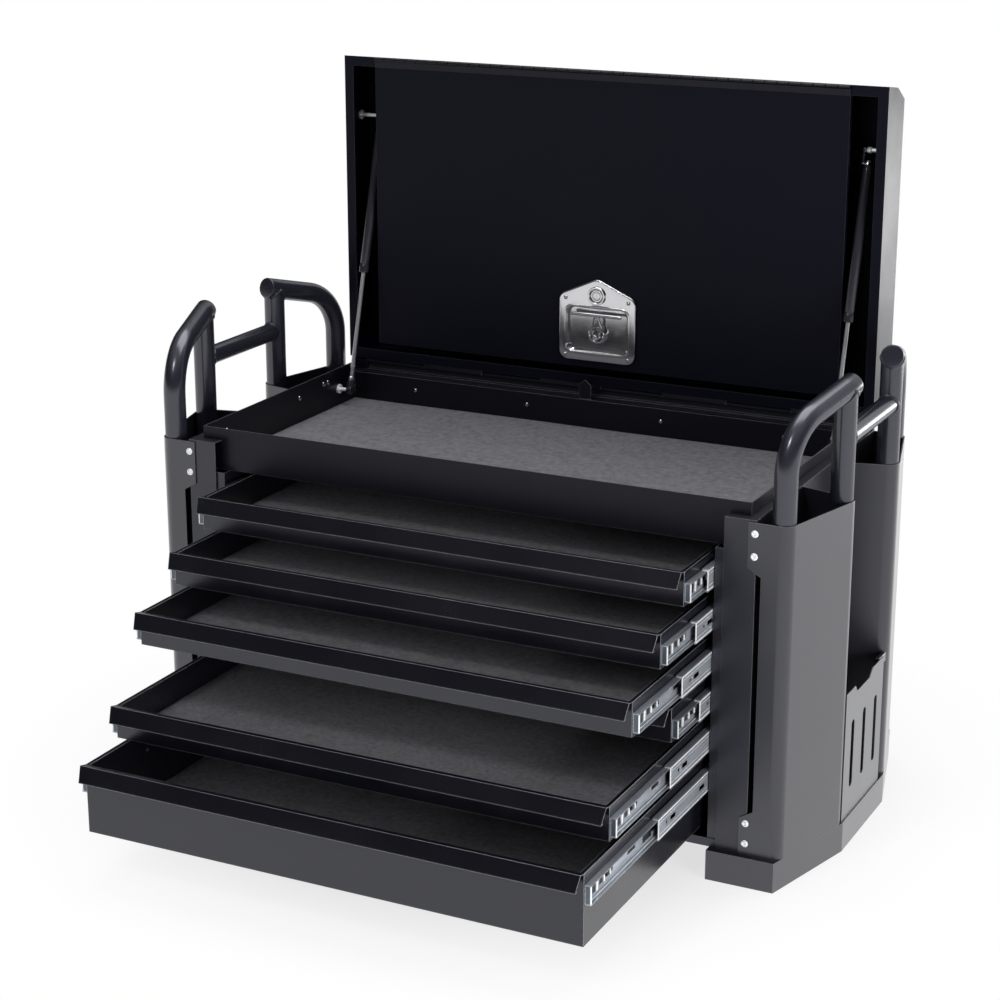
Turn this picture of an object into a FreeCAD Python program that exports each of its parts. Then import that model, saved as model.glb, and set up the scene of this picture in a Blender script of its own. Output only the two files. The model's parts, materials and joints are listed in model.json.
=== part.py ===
"""Machinist tool chest: a tray-topped drawer chest in a welded pipe frame.

Millimetres. +X is to the right of someone who faces the drawers, +Y is to the rear, +Z is up.
The origin is on the floor, in the middle of the two plinths' footprint. The chest is drawn as it
stands in use: the lid open at 90 degrees, the cover flap folded against the lid's rim, and the six
drawers pulled out by different amounts.
"""
import FreeCAD, Part

import math
import os
import re

import Sketcher

Vector = FreeCAD.Vector
doc = FreeCAD.newDocument("machinist_tool_chest")

# Driving sizes, in millimetres and degrees
DRIVING = {
    # casing
    "case_width": 930.0,
    "case_depth": 525.2,
    "case_top": 549.3,
    "case_gauge": 1.2,
    "post_width": 47.4,
    "seat_gap": 0.3,
    "overrun": 2.0,
    "floor_front_lip": 13.0,
    # plinths under the two ends
    "plinth_height": 46.2,
    "plinth_gauge": 3.0,
    "plinth_projection": 11.8,
    "plinth_inner_half": 408.0,
    "plinth_corner_half": 511.6,
    "plinth_side_half": 556.2,
    # pipe frame
    "pipe_diameter": 33.7,
    "pipe_wall": 2.6,
    "leg_offset": 34.1,
    "leg_pitch": 143.0,
    "lean_angle": 14.25,
    "hoop_bend_start": 611.0,
    "hoop_bend_radius": 80.0,
    "hoop_bend_angle": 76.5,
    "hoop_overhang": 18.0,
    "cross_tube_diameter": 29.6,
    "cross_tube_height": 637.0,
    # corner guards
    "guard_gauge": 2.0,
    "guard_clearance": 0.15,
    "guard_top": 546.5,
    "guard_tab_half": 453.8,
    "guard_slit_half": 474.0,
    "guard_slit_low": 103.0,
    "guard_slit_high": 480.0,
    "guard_slit_chamfer": 12.0,
    # side bin plates
    "bin_half": 552.0,
    "bin_gauge": 2.0,
    "bin_front": -100.0,
    "bin_length": 176.0,
    "bin_height": 203.0,
    "bin_dip": 11.0,
    "bin_foot": 14.0,
    "bin_slot_width": 14.0,
    "bin_slot_low": 91.0,
    "bin_slot_high": 198.0,
    "bin_slot_pitch": 53.5,
    "bin_slot_centre": -11.0,
    # top tray
    "tray_half_width": 450.0,
    "tray_front": -243.0,
    "tray_length": 466.2,
    "tray_rim": 568.0,
    "tray_bottom": 502.0,
    "tray_rear_rim": 550.8,
    "tray_shoulder": 9.2,
    "tray_rear_flange": 7.0,
    "mat_thickness": 3.0,
    "mat_margin": 1.0,
    "keeper_width": 21.0,
    "keeper_centre": -16.5,
    "keeper_top": 583.0,
    "keeper_gauge": 2.0,
    "keeper_bevel": 9.0,
    # lid
    "lid_half_width": 468.0,
    "lid_length": 511.6,
    "lid_depth": 81.0,
    "lid_gauge": 1.2,
    "lid_rim_width": 16.0,
    "lid_front_drop": 6.1,
    "lid_bevel_depth": 36.0,
    "lid_bevel_length": 21.0,
    "lid_axis_height": 564.0,
    "lid_axis_rear": 257.0,
    "lid_axis_to_rim": 14.8,
    "lid_axis_to_heel": 8.0,
    "hinge_half_length": 440.0,
    "hinge_knuckle_radius": 4.5,
    "hinge_knuckle_length": 110.0,
    "hinge_leaf_gauge": 1.5,
    "hinge_leaf_width": 23.0,
    "hinge_pin_radius": 2.0,
    "hinge_knuckle_gap": 0.5,
    # cover flap
    "flap_half_width": 409.2,
    "flap_length": 476.0,
    "flap_gauge": 1.2,
    "flap_edge_depth": 9.0,
    "flap_axis_drop": 3.3,
    "flap_axis_forward": 3.6,
    "flap_top_drop": 6.6,
    "flap_knuckle_radius": 3.0,
    "flap_knuckle_length": 102.0,
    "flap_leaf_width": 12.0,
    "flap_pin_radius": 1.4,
    # lock
    "lock_half_width": 67.5,
    "lock_bottom": 613.0,
    "lock_shoulder": 721.0,
    "lock_apex": 751.0,
    "lock_corner": 9.0,
    "lock_projection": 8.0,
    "lock_pocket_half": 54.0,
    "lock_pocket_low": 628.0,
    "lock_pocket_high": 703.0,
    "lock_pocket_depth": 16.0,
    "lock_gauge": 1.6,
    "key_height": 723.0,
    "key_radius": 13.0,
    "key_projection": 1.5,
    "key_length": 20.0,
    "hub_height": 659.0,
    "hub_radius": 17.5,
    "hub_projection": 2.0,
    "hub_slot_half": 5.0,
    "hub_slot_low_share": 0.6,
    "handle_pin_radius": 1.5,
    "handle_pin_grip": 4.0,
    "handle_bar_radius": 3.0,
    "handle_bar_half": 45.0,
    "handle_bar_height": 692.0,
    "handle_stem_width": 8.0,
    "handle_stem_gauge": 3.0,
    "spindle_radius": 5.0,
    "cam_length": 34.0,
    "cam_width": 16.0,
    "cam_gauge": 3.0,
    # gas struts
    "strut_inset": 23.0,
    "strut_low_setback": 55.2,
    "strut_low_drop": 36.0,
    "strut_high_depth": 49.8,
    "strut_high_drop": 103.6,
    "strut_rod_radius": 3.25,
    "strut_rod_reach_share": 0.645,
    "strut_tube_radius": 7.5,
    "strut_tube_start_share": 0.43,
    "strut_bore_radius": 5.6,
    "strut_collar_length": 14.0,
    "strut_collar_radius": 8.2,
    "strut_end_length": 22.0,
    "strut_clearance": 0.3,
    "ball_radius": 5.0,
    "socket_radius": 7.5,
    "socket_half_length": 5.0,
    "stud_radius": 3.0,
    "stud_base_radius": 8.0,
    "stud_base_length": 3.0,
    "tongue_gauge": 4.0,
    "tongue_half_width": 6.0,
    # slides
    "slide_thickness": 12.7,
    "slide_length": 450.0,
    "slide_height": 37.0,
    "slide_gauge": 1.3,
    "slide_track_gauge": 2.4,
    "slide_play": 0.35,
    "slide_seat": 0.15,
    "slide_drop": 15.0,
    "slide_slot_length": 26.0,
    "slide_slot_width": 6.0,
    "slide_slot_count": 5.0,
    "panel_gauge": 1.5,
    "panel_flange": 22.0,
    # drawers
    "drawer_half_width": 391.0,
    "drawer_gauge": 1.2,
    "drawer_closed_front": -221.0,
    "drawer_length": 448.0,
    "shallow_height": 53.6,
    "deep_height": 108.0,
    "lip_depth": 12.0,
    "lip_rise": 3.0,
    "lip_height": 23.0,
    "lip_slant": 10.0,
    "lip_return": 6.0,
    "lip_end_margin": 0.6,
    "lip_end_bevel": 3.0,
    "drawer_hem": 6.0,
    "liner_thickness": 2.0,
    "liner_margin": 1.0,
}

# Each drawer from the top: height of its top edge, how far it is pulled out, and its box height
DRAWERS = {
    "1": (491.0, 119.7, "shallow_height"),
    "2": (427.0, 199.5, "shallow_height"),
    "3": (363.0, 293.0, "shallow_height"),
    "4": (302.5, 154.0, "shallow_height"),
    "5": (242.0, 363.2, "shallow_height"),
    "6": (180.0, 442.3, "deep_height"),
}

sheet = doc.addObject("Spreadsheet::Sheet", "Sizes")
rows = dict(DRIVING)
for number, (top, pull, _) in DRAWERS.items():
    rows["drawer_top_" + number] = top
    rows["drawer_pull_" + number] = pull
for row, (alias, number) in enumerate(rows.items(), start=1):
    sheet.set(f"A{row}", alias)
    sheet.set(f"B{row}", repr(number))
    sheet.setAlias(f"B{row}", alias)
doc.recompute()


class Size:
    """A length or an angle: the expression that the sheet evaluates, and its present value."""

    def __init__(self, text, value):
        self.text = text
        self.value = value

    def _with(self, other, sign, value):
        return Size(f"({self.text} {sign} {as_text(other)})", value)

    def __add__(self, other):
        return self._with(other, "+", self.value + as_number(other))

    def __sub__(self, other):
        return self._with(other, "-", self.value - as_number(other))

    def __mul__(self, other):
        return self._with(other, "*", self.value * as_number(other))

    def __truediv__(self, other):
        return self._with(other, "/", self.value / as_number(other))

    def __radd__(self, other):
        return Size(f"({as_text(other)} + {self.text})", as_number(other) + self.value)

    def __rsub__(self, other):
        return Size(f"({as_text(other)} - {self.text})", as_number(other) - self.value)

    def __rmul__(self, other):
        return Size(f"({as_text(other)} * {self.text})", as_number(other) * self.value)

    def __neg__(self):
        return Size(f"(-1 * {self.text})", -self.value)


def as_text(size):
    return size.text if isinstance(size, Size) else repr(size)


def as_number(size):
    return size.value if isinstance(size, Size) else float(size)


def size(alias):
    """The sheet's cell of that alias, as a Size."""
    return Size("Sizes." + alias, float(sheet.get(alias)))


def sine(angle):
    return Size(f"sin({angle.text} * 1 deg)", math.sin(math.radians(angle.value)))


def cosine(angle):
    return Size(f"cos({angle.text} * 1 deg)", math.cos(math.radians(angle.value)))


def tangent(angle):
    return Size(f"tan({angle.text} * 1 deg)", math.tan(math.radians(angle.value)))


def root(number):
    return Size(f"sqrt({number.text})", math.sqrt(number.value))


def arc_tangent(rise, run):
    """The angle, in degrees, whose tangent is rise over run."""
    value = math.degrees(math.atan2(as_number(rise), as_number(run)))
    return Size(f"(atan2({as_text(rise)}; {as_text(run)}) / 1 deg)", value)


def bind(thing, prop, length):
    """Hold one property of an object at a size."""
    if isinstance(length, Size):
        thing.setExpression(prop, length.text)
    else:
        thing.setExpression(prop, repr(float(length)))


def place(thing, x=0, y=0, z=0, axis=None, angle=None):
    """Bind an object's position, and its turn about a fixed axis."""
    if axis is not None:
        thing.Placement = FreeCAD.Placement(Vector(), FreeCAD.Rotation(axis, as_number(angle)))
        bind(thing, "Placement.Rotation.Angle", angle)
    for prop, length in (("x", x), ("y", y), ("z", z)):
        bind(thing, "Placement.Base." + prop, length)


def sketch_on(body, name, plane, offset):
    """An empty sketch on one of the body's own origin planes, set off along its normal."""
    drawing = body.newObject("Sketcher::SketchObject", name)
    for feature in body.Origin.OriginFeatures:
        if feature.Role == plane + "_Plane":
            drawing.AttachmentSupport = [(feature, "")]
    drawing.MapMode = "FlatFace"
    drawing.AttachmentOffset = FreeCAD.Placement(Vector(0, 0, as_number(offset)), FreeCAD.Rotation())
    bind(drawing, "AttachmentOffset.Base.z", offset)
    return drawing


def hold_point(drawing, element, end, across, up):
    """Hold one end of a sketch element at its two distances from the origin."""
    for kind, length in (("DistanceX", across), ("DistanceY", up)):
        constraint = Sketcher.Constraint(kind, -1, 1, element, end, as_number(length))
        index = drawing.addConstraint(constraint)
        bind(drawing, f"Constraints[{index}]", length)


def draw_outline(drawing, points):
    """A closed outline of straight lines, with every corner held at its sizes."""
    count = len(points)
    corners = [Vector(as_number(a), as_number(b), 0) for a, b in points]
    for i in range(count):
        drawing.addGeometry(Part.LineSegment(corners[i], corners[(i + 1) % count]), False)
    for i in range(count):
        drawing.addConstraint(Sketcher.Constraint("Coincident", i, 2, (i + 1) % count, 1))
    for i, (across, up) in enumerate(points):
        hold_point(drawing, i, 1, across, up)


def draw_slot(drawing, across, low, high, width):
    """An upright slot with round ends: its two sides are lines and its ends are half circles."""
    left = across - width / 2
    right = across + width / 2
    ends = {0: ((left, low), (left, high)), 1: ((right, high), (right, low))}
    for element, (start, stop) in ends.items():
        points = [Vector(as_number(a), as_number(b), 0) for a, b in (start, stop)]
        drawing.addGeometry(Part.LineSegment(*points), False)
        hold_point(drawing, element, 1, *start)
        hold_point(drawing, element, 2, *stop)
    for element, (height, first, last) in {2: (high, (1, 1), (0, 2)), 3: (low, (0, 1), (1, 2))}.items():
        centre = Vector(as_number(across), as_number(height), 0)
        circle = Part.Circle(centre, Vector(0, 0, 1), as_number(width) / 2)
        span = (0, math.pi) if height is high else (math.pi, 2 * math.pi)
        drawing.addGeometry(Part.ArcOfCircle(circle, *span), False)
        drawing.addConstraint(Sketcher.Constraint("Coincident", element, 1, *first))
        drawing.addConstraint(Sketcher.Constraint("Coincident", element, 2, *last))
        index = drawing.addConstraint(
            Sketcher.Constraint("DistanceY", -1, 1, element, 3, as_number(height))
        )
        bind(drawing, f"Constraints[{index}]", height)


def draw_circle(drawing, across, up, radius):
    """A circle held by its centre and its radius."""
    centre = Vector(as_number(across), as_number(up), 0)
    element = drawing.addGeometry(Part.Circle(centre, Vector(0, 0, 1), as_number(radius)), False)
    index = drawing.addConstraint(Sketcher.Constraint("Radius", element, as_number(radius)))
    bind(drawing, f"Constraints[{index}]", radius)
    hold_point(drawing, element, 3, across, up)


class Piece:
    """One sub-part made as a PartDesign body, feature after feature."""

    def __init__(self, label):
        self.body = doc.addObject("PartDesign::Body", label)
        self.body.Label = label
        self.count = 0

    def _feature(self, kind, plane, offset, draw, length, both, back):
        self.count += 1
        name = f"{self.body.Name}_{self.count}"
        drawing = sketch_on(self.body, "sketch_" + name, plane, offset)
        draw(drawing)
        feature = self.body.newObject("PartDesign::" + kind, kind.lower() + "_" + name)
        feature.Profile = drawing
        if both:
            feature.SideType = "Symmetric"
        feature.Reversed = back
        bind(feature, "Length", length)
        return self

    def pad(self, plane, outline, length, offset=0, both=False, back=False):
        """Add an outline, thickened along the plane's normal (XY +Z, XZ -Y, YZ +X) or back."""
        draw = lambda s: draw_outline(s, outline)
        return self._feature("Pad", plane, offset, draw, length, both, back)

    def cut(self, plane, outline, length, offset=0, both=False, back=False):
        """Take an outline away against the plane's normal (XY -Z, XZ +Y, YZ -X) or along it."""
        draw = lambda s: draw_outline(s, outline)
        return self._feature("Pocket", plane, offset, draw, length, both, back)

    def disc(self, plane, centre, radius, length, offset=0, both=False, back=False):
        """Add a round boss."""
        draw = lambda s: draw_circle(s, *centre, radius)
        return self._feature("Pad", plane, offset, draw, length, both, back)

    def bore(self, plane, centre, radius, length, offset=0, both=False, back=False):
        """Take a round hole away."""
        draw = lambda s: draw_circle(s, *centre, radius)
        return self._feature("Pocket", plane, offset, draw, length, both, back)

    def slot(self, plane, across, low, high, width, length, offset=0, both=False, back=False):
        """Take an upright round-ended slot away."""
        draw = lambda s: draw_slot(s, across, low, high, width)
        return self._feature("Pocket", plane, offset, draw, length, both, back)

    def round_along(self, axis, places, radius):
        """Round the straight edges that run along an axis through the given places."""
        doc.recompute()
        base = self.body.Tip
        others = [i for i in range(3) if i != "XYZ".index(axis)]
        near = 0.05 * as_number(size("case_gauge"))
        names = []
        for number, edge in enumerate(base.Shape.Edges, start=1):
            if len(edge.Vertexes) != 2 or not isinstance(edge.Curve, Part.Line):
                continue
            ends = [[vertex.Point[i] for i in others] for vertex in edge.Vertexes]
            for spot in places:
                spot_at = [as_number(length) for length in spot]
                if all(math.dist(end, spot_at) < near for end in ends):
                    names.append(f"Edge{number}")
        self.count += 1
        fillet = self.body.newObject("PartDesign::Fillet", f"fillet_{self.body.Name}_{self.count}")
        fillet.Base = (base, names)
        bind(fillet, "Radius", radius)
        return self


def mirrored(label, source, normal):
    """The same piece for the other side, mirrored through the origin."""
    twin = doc.addObject("Part::Mirroring", label)
    twin.Label = label
    twin.Source = source
    twin.Normal = normal
    return twin


def cylinder(name, radius, height, **where):
    rod = doc.addObject("Part::Cylinder", name)
    bind(rod, "Radius", radius)
    bind(rod, "Height", height)
    place(rod, **where)
    return rod


def along_x(name, radius, half_length, y, z):
    """A cylinder along X, as long to the left of the middle as to the right."""
    length = 2 * half_length
    return cylinder(name, radius, length, x=-half_length, y=y, z=z, axis=Y_AXIS, angle=QUARTER)


def box(name, low, high):
    """A block between two opposite corners."""
    block = doc.addObject("Part::Box", name)
    for prop, a, b in zip(("Length", "Width", "Height"), low, high):
        bind(block, prop, b - a)
    place(block, *low)
    return block


def fused(label, *shapes):
    joined = doc.addObject("Part::MultiFuse", label)
    joined.Label = label
    joined.Shapes = list(shapes)
    joined.Refine = True
    return joined


def cut_from(label, base, tool):
    left = doc.addObject("Part::Cut", label)
    left.Label = label
    left.Base = base
    left.Tool = tool
    return left


def grouped(label, *shapes):
    """Separate solids that share one node."""
    group = doc.addObject("Part::Compound", label)
    group.Label = label
    group.Links = list(shapes)
    return group


def rectangle(left, right, low, high):
    return [(left, low), (right, low), (right, high), (left, high)]


X_AXIS = Vector(1, 0, 0)
Y_AXIS = Vector(0, 1, 0)
Z_AXIS = Vector(0, 0, 1)
QUARTER = Size("90", 90.0)
nodes = []

# Names for the sizes that many pieces share
gap = size("seat_gap")
over = size("overrun")
gauge = size("case_gauge")
case_half = size("case_width") / 2
case_back = size("case_depth") / 2
case_top = size("case_top")
post_inner = case_half - size("post_width")
plinth_top = size("plinth_height")
lean = size("lean_angle")
pipe_radius = size("pipe_diameter") / 2
guard_inner_radius = pipe_radius + size("guard_clearance")
guard_outer_radius = guard_inner_radius + size("guard_gauge")
leg_x = case_half + size("leg_offset")
leg_y = -(case_back + gap) + guard_inner_radius
second_leg_x = leg_x + size("leg_pitch") * sine(lean)
second_leg_y = leg_y + size("leg_pitch") * cosine(lean)
tray_half = size("tray_half_width")
tray_front = size("tray_front")
tray_rear = tray_front + size("tray_length")
tray_bottom = size("tray_bottom")
axis_y = size("lid_axis_rear")
axis_z = size("lid_axis_height")
rim_y = axis_y - size("lid_axis_to_rim")
lid_heel = axis_z + size("lid_axis_to_heel")
lid_front = lid_heel + size("lid_length")


# Casing: sides, back and front posts folded from one sheet, with a top flange round the tray
def make_case_wrap():
    inside = case_half - gauge
    flange_front = tray_front - gap
    wall = [
        (post_inner, -case_back),
        (case_half, -case_back),
        (case_half, case_back),
        (-case_half, case_back),
        (-case_half, -case_back),
        (-post_inner, -case_back),
        (-post_inner, -case_back + gauge),
        (-inside, -case_back + gauge),
        (-inside, case_back - gauge),
        (inside, case_back - gauge),
        (inside, -case_back + gauge),
        (post_inner, -case_back + gauge),
    ]
    tray_edge = tray_half + gap
    flange = [
        (post_inner, -case_back),
        (case_half, -case_back),
        (case_half, case_back),
        (-case_half, case_back),
        (-case_half, -case_back),
        (-post_inner, -case_back),
        (-post_inner, flange_front),
        (-tray_edge, flange_front),
        (-tray_edge, tray_rear + gap),
        (tray_edge, tray_rear + gap),
        (tray_edge, flange_front),
        (post_inner, flange_front),
    ]
    piece = Piece("case_wrap")
    piece.pad("XY", wall, case_top - plinth_top, offset=plinth_top)
    piece.pad("XY", flange, gauge, offset=case_top - gauge)
    return piece.body


def make_case_floor():
    """A floor pan inside the wrap, with a short upright lip along its front."""
    front = -case_back + gauge + gap
    rear = case_back - gauge - gap
    lip = plinth_top + size("floor_front_lip")
    profile = [
        (front, plinth_top),
        (rear, plinth_top),
        (rear, plinth_top + gauge),
        (front + gauge, plinth_top + gauge),
        (front + gauge, lip),
        (front, lip),
    ]
    return Piece("case_floor").pad("YZ", profile, 2 * (case_half - gauge - gap), both=True).body


panel_inner = size("drawer_half_width") + size("slide_thickness") + 2 * size("slide_seat")


def make_slide_panel():
    """The inner wall of one side, flanged outward behind the floor's lip and against the back."""
    thick = size("panel_gauge")
    front = -case_back + 2 * gauge + 2 * gap
    rear = case_back - gauge - gap
    outer = panel_inner + thick
    reach = panel_inner + size("panel_flange")
    section = [
        (panel_inner, front),
        (reach, front),
        (reach, front + thick),
        (outer, front + thick),
        (outer, rear - thick),
        (reach, rear - thick),
        (reach, rear),
        (panel_inner, rear),
    ]
    low = plinth_top + gauge + gap
    return Piece("slide_panel_right").pad("XY", section, tray_bottom - gap - low, offset=low).body


# Plinths: inverted trays under the two ends, open towards the middle of the chest
def make_plinth():
    wall = size("plinth_gauge")
    front = case_back + size("plinth_projection")
    inner = size("plinth_inner_half")
    corner = size("plinth_corner_half")
    side = size("plinth_side_half")
    side_half_length = front - (side - corner) / tangent(lean)
    skirt = [
        (inner, -front),
        (corner, -front),
        (side, -side_half_length),
        (side, side_half_length),
        (corner, front),
        (inner, front),
    ]
    corner_in = corner - wall * cosine(lean) / (1 + sine(lean))
    side_in = side_half_length - wall * tangent(lean / 2)
    hollow = [
        (inner - over, -front + wall),
        (corner_in, -front + wall),
        (side - wall, -side_in),
        (side - wall, side_in),
        (corner_in, front - wall),
        (inner - over, front - wall),
    ]
    piece = Piece("plinth_right")
    piece.pad("XY", skirt, plinth_top)
    piece.cut("XY", hollow, plinth_top - wall, back=True)
    return piece.body


# Pipe frame: four bent hoops, and two upright frames with a cross tube
bend = size("hoop_bend_angle")
bend_radius = size("hoop_bend_radius")
bend_low = size("hoop_bend_start") - plinth_top
bend_out = bend_radius - bend_radius * cosine(bend)
bend_high = bend_low + bend_radius * sine(bend)
run_length = (size("leg_pitch") - bend_out) / sine(bend) + size("hoop_overhang")


def draw_hoop_path(drawing, end_cut):
    """Up the leg, round the bend, and back along the rising run, in the body's own YZ plane."""
    length = run_length - end_cut
    corners = [
        (0, end_cut),
        (0, bend_low),
        (bend_out, bend_high),
        (bend_out + length * sine(bend), bend_high + length * cosine(bend)),
    ]
    spots = [Vector(as_number(a), as_number(b), 0) for a, b in corners]
    drawing.addGeometry(Part.LineSegment(spots[0], spots[1]), False)
    centre = Vector(as_number(bend_radius), as_number(bend_low), 0)
    circle = Part.Circle(centre, Z_AXIS, as_number(bend_radius))
    start = math.pi - math.radians(as_number(bend))
    drawing.addGeometry(Part.ArcOfCircle(circle, start, math.pi), False)
    drawing.addGeometry(Part.LineSegment(spots[2], spots[3]), False)
    hold_point(drawing, 0, 1, *corners[0])
    hold_point(drawing, 0, 2, *corners[1])
    hold_point(drawing, 2, 1, *corners[2])
    hold_point(drawing, 2, 2, *corners[3])
    drawing.addConstraint(Sketcher.Constraint("Coincident", 1, 2, 0, 2))
    drawing.addConstraint(Sketcher.Constraint("Coincident", 1, 1, 2, 1))
    index = drawing.addConstraint(Sketcher.Constraint("DistanceY", -1, 1, 1, 3, as_number(bend_low)))
    bind(drawing, f"Constraints[{index}]", bend_low)


def make_hoop():
    """A capped pipe, swept solid and then bored to leave the wall and the end discs."""
    body = doc.addObject("PartDesign::Body", "hoop_front_right")
    body.Label = "hoop_front_right"
    wall = size("pipe_wall")
    for kind, radius, inset in (
        ("AdditivePipe", pipe_radius, Size("0", 0.0)),
        ("SubtractivePipe", pipe_radius - wall, wall),
    ):
        ring = sketch_on(body, "ring_" + kind, "XY", inset)
        draw_circle(ring, 0, 0, radius)
        path = sketch_on(body, "path_" + kind, "YZ", 0)
        draw_hoop_path(path, inset)
        pipe = body.newObject("PartDesign::" + kind, "pipe_" + kind)
        pipe.Profile = ring
        pipe.Spine = path
    place(body, leg_x, leg_y, plinth_top, axis=Z_AXIS, angle=-lean)
    return body


def make_upright_frame():
    """The second legs of one side, coped under the hoops, with the cross tube between them."""
    wall = size("pipe_wall")
    run_height = plinth_top + bend_high + (size("leg_pitch") - bend_out) / tangent(bend)
    tube = size("cross_tube_diameter") / 2
    shells = []
    for suffix, trim in (("solid", Size("0", 0.0)), ("bore", wall)):
        parts = []
        for end, place_y in (("front", second_leg_y), ("rear", -second_leg_y)):
            parts.append(
                cylinder(
                    f"upright_{end}_{suffix}",
                    pipe_radius - trim,
                    run_height - plinth_top,
                    x=second_leg_x,
                    y=place_y,
                    z=plinth_top,
                )
            )
        parts.append(
            cylinder(
                "cross_tube_" + suffix,
                tube - trim,
                2 * -second_leg_y,
                x=second_leg_x,
                y=second_leg_y,
                z=size("cross_tube_height"),
                axis=X_AXIS,
                angle=Size("-90", -90.0),
            )
        )
        shells.append(fused("upright_frame_" + suffix, *parts))
    pipe_work = cut_from("upright_frame_pipes", *shells)
    cope = doc.addObject("Part::Cylinder", "cope_front")
    bind(cope, "Radius", pipe_radius + gap)
    bind(cope, "Height", run_length + size("leg_pitch"))
    turn_axis = Vector(-math.cos(math.radians(as_number(lean))), math.sin(math.radians(as_number(lean))), 0)
    cope.Placement = FreeCAD.Placement(Vector(), FreeCAD.Rotation(turn_axis, as_number(bend)))
    bind(cope, "Placement.Rotation.Angle", bend)
    bind(cope, "Placement.Rotation.Axis.x", -cosine(lean))
    bind(cope, "Placement.Rotation.Axis.y", sine(lean))
    bind(cope, "Placement.Base.x", leg_x + bend_out * sine(lean))
    bind(cope, "Placement.Base.y", leg_y + bend_out * cosine(lean))
    bind(cope, "Placement.Base.z", plinth_top + bend_high)
    copes = fused("copes", cope, mirrored("cope_rear", cope, Y_AXIS))
    return cut_from("upright_frame_right", pipe_work, copes)


# Corner guards: folded sheet round the two legs of a corner
def make_corner_guard():
    tab = size("guard_tab_half")
    wall_x = case_half + gap

    def corner(radius):
        return (leg_x + radius * cosine(lean) / (1 + sine(lean)), leg_y - radius)

    def heel(radius):
        return (
            second_leg_x + radius * (cosine(lean) + sine(lean)),
            second_leg_y + radius * (cosine(lean) - sine(lean)),
        )

    def flange_end(radius):
        x, y = heel(radius)
        return (wall_x, y + (x - wall_x) * tangent(lean))

    outer, inner = guard_outer_radius, guard_inner_radius
    plan = [
        (tab, leg_y - outer),
        corner(outer),
        heel(outer),
        flange_end(outer),
        flange_end(inner),
        heel(inner),
        corner(inner),
        (tab, leg_y - inner),
    ]
    low, high = size("guard_slit_low"), size("guard_slit_high")
    chamfer = size("guard_slit_chamfer")
    slit_x = size("guard_slit_half")
    slit = [
        (tab - over, low),
        (tab, low),
        (slit_x, low + chamfer),
        (slit_x, high - chamfer),
        (tab, high),
        (tab - over, high),
    ]
    piece = Piece("corner_guard_front_right")
    piece.pad("XY", plan, size("guard_top") - plinth_top, offset=plinth_top)
    front = leg_y - outer - over
    piece.cut("XZ", slit, size("guard_gauge") + 2 * over, offset=-front)
    piece.round_along("Z", [corner(outer), heel(outer)], outer)
    piece.round_along("Z", [corner(inner), heel(inner)], inner)
    return piece.body


# Side bin plates: slotted plates that close the pocket between two guards
def make_side_bin():
    front = size("bin_front")
    length = size("bin_length")
    rear = front + length
    top = plinth_top + size("bin_height")
    dip = top - size("bin_dip")
    dip_front_share, dip_low_share, dip_rise_share, dip_rear_share = 0.46 / 2, 0.28, 0.62, 0.70
    outline = [
        (front, plinth_top),
        (rear, plinth_top),
        (rear, top),
        (front + length * dip_rear_share, top),
        (front + length * dip_rise_share, dip),
        (front + length * dip_low_share, dip),
        (front + length * dip_front_share, top),
        (front, top),
    ]
    plate_x = size("bin_half")
    foot_margin_share = 0.1
    foot = rectangle(
        plate_x - size("bin_foot"),
        plate_x + size("bin_gauge"),
        front + length * foot_margin_share,
        rear - length * foot_margin_share,
    )
    piece = Piece("side_bin_plate")
    piece.pad("YZ", outline, size("bin_gauge"), offset=plate_x)
    piece.pad("XY", foot, size("bin_gauge"), offset=plinth_top)
    for step in (-1, 0, 1):
        centre = size("bin_slot_centre") + step * size("bin_slot_pitch")
        width = size("bin_slot_width")
        low = size("bin_slot_low") + width / 2
        high = size("bin_slot_high") - width / 2
        depth = size("bin_gauge") + 2 * over
        piece.slot("YZ", centre, low, high, width, depth, offset=plate_x + size("bin_gauge") + over)
    return grouped("side_bin_plates", piece.body, mirrored("side_bin_plate_left", piece.body, X_AXIS))


# Top tray: a deep pan with its rear edge lower and flanged back, and a keeper tab on the flange
def make_top_tray():
    rim = size("tray_rim")
    shoulder = tray_rear - size("tray_shoulder")
    rear_rim = size("tray_rear_rim")
    outer = rectangle(-tray_half, tray_half, tray_front, tray_rear)
    inner = rectangle(-tray_half + gauge, tray_half - gauge, tray_front + gauge, tray_rear - gauge)
    piece = Piece("top_tray")
    piece.pad("XY", outer, rim - tray_bottom, offset=tray_bottom)
    piece.cut("XY", inner, rim - tray_bottom - gauge, offset=rim)
    notch = rectangle(shoulder, tray_rear + over, rear_rim, rim + over)
    piece.cut("YZ", notch, 2 * (tray_half + over), both=True)
    flange_rear = tray_rear + size("tray_rear_flange")
    flange = rectangle(tray_rear - gauge, flange_rear, rear_rim - gauge, rear_rim)
    piece.pad("YZ", flange, 2 * tray_half, both=True)
    centre = size("keeper_centre")
    half = size("keeper_width") / 2
    bevel = size("keeper_bevel")
    top = size("keeper_top")
    tab = [
        (centre - half, rear_rim - gauge),
        (centre + half, rear_rim - gauge),
        (centre + half, top - bevel),
        (centre, top),
        (centre - half, top - bevel),
    ]
    piece.pad("XZ", tab, size("keeper_gauge"), offset=-flange_rear + over)
    return piece.body


def make_tray_mat():
    inset = gauge + size("mat_margin")
    low = tray_bottom + gauge
    outline = rectangle(-tray_half + inset, tray_half - inset, tray_front + inset, tray_rear - inset)
    return Piece("tray_mat").pad("XY", outline, size("mat_thickness"), offset=low).body


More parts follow.
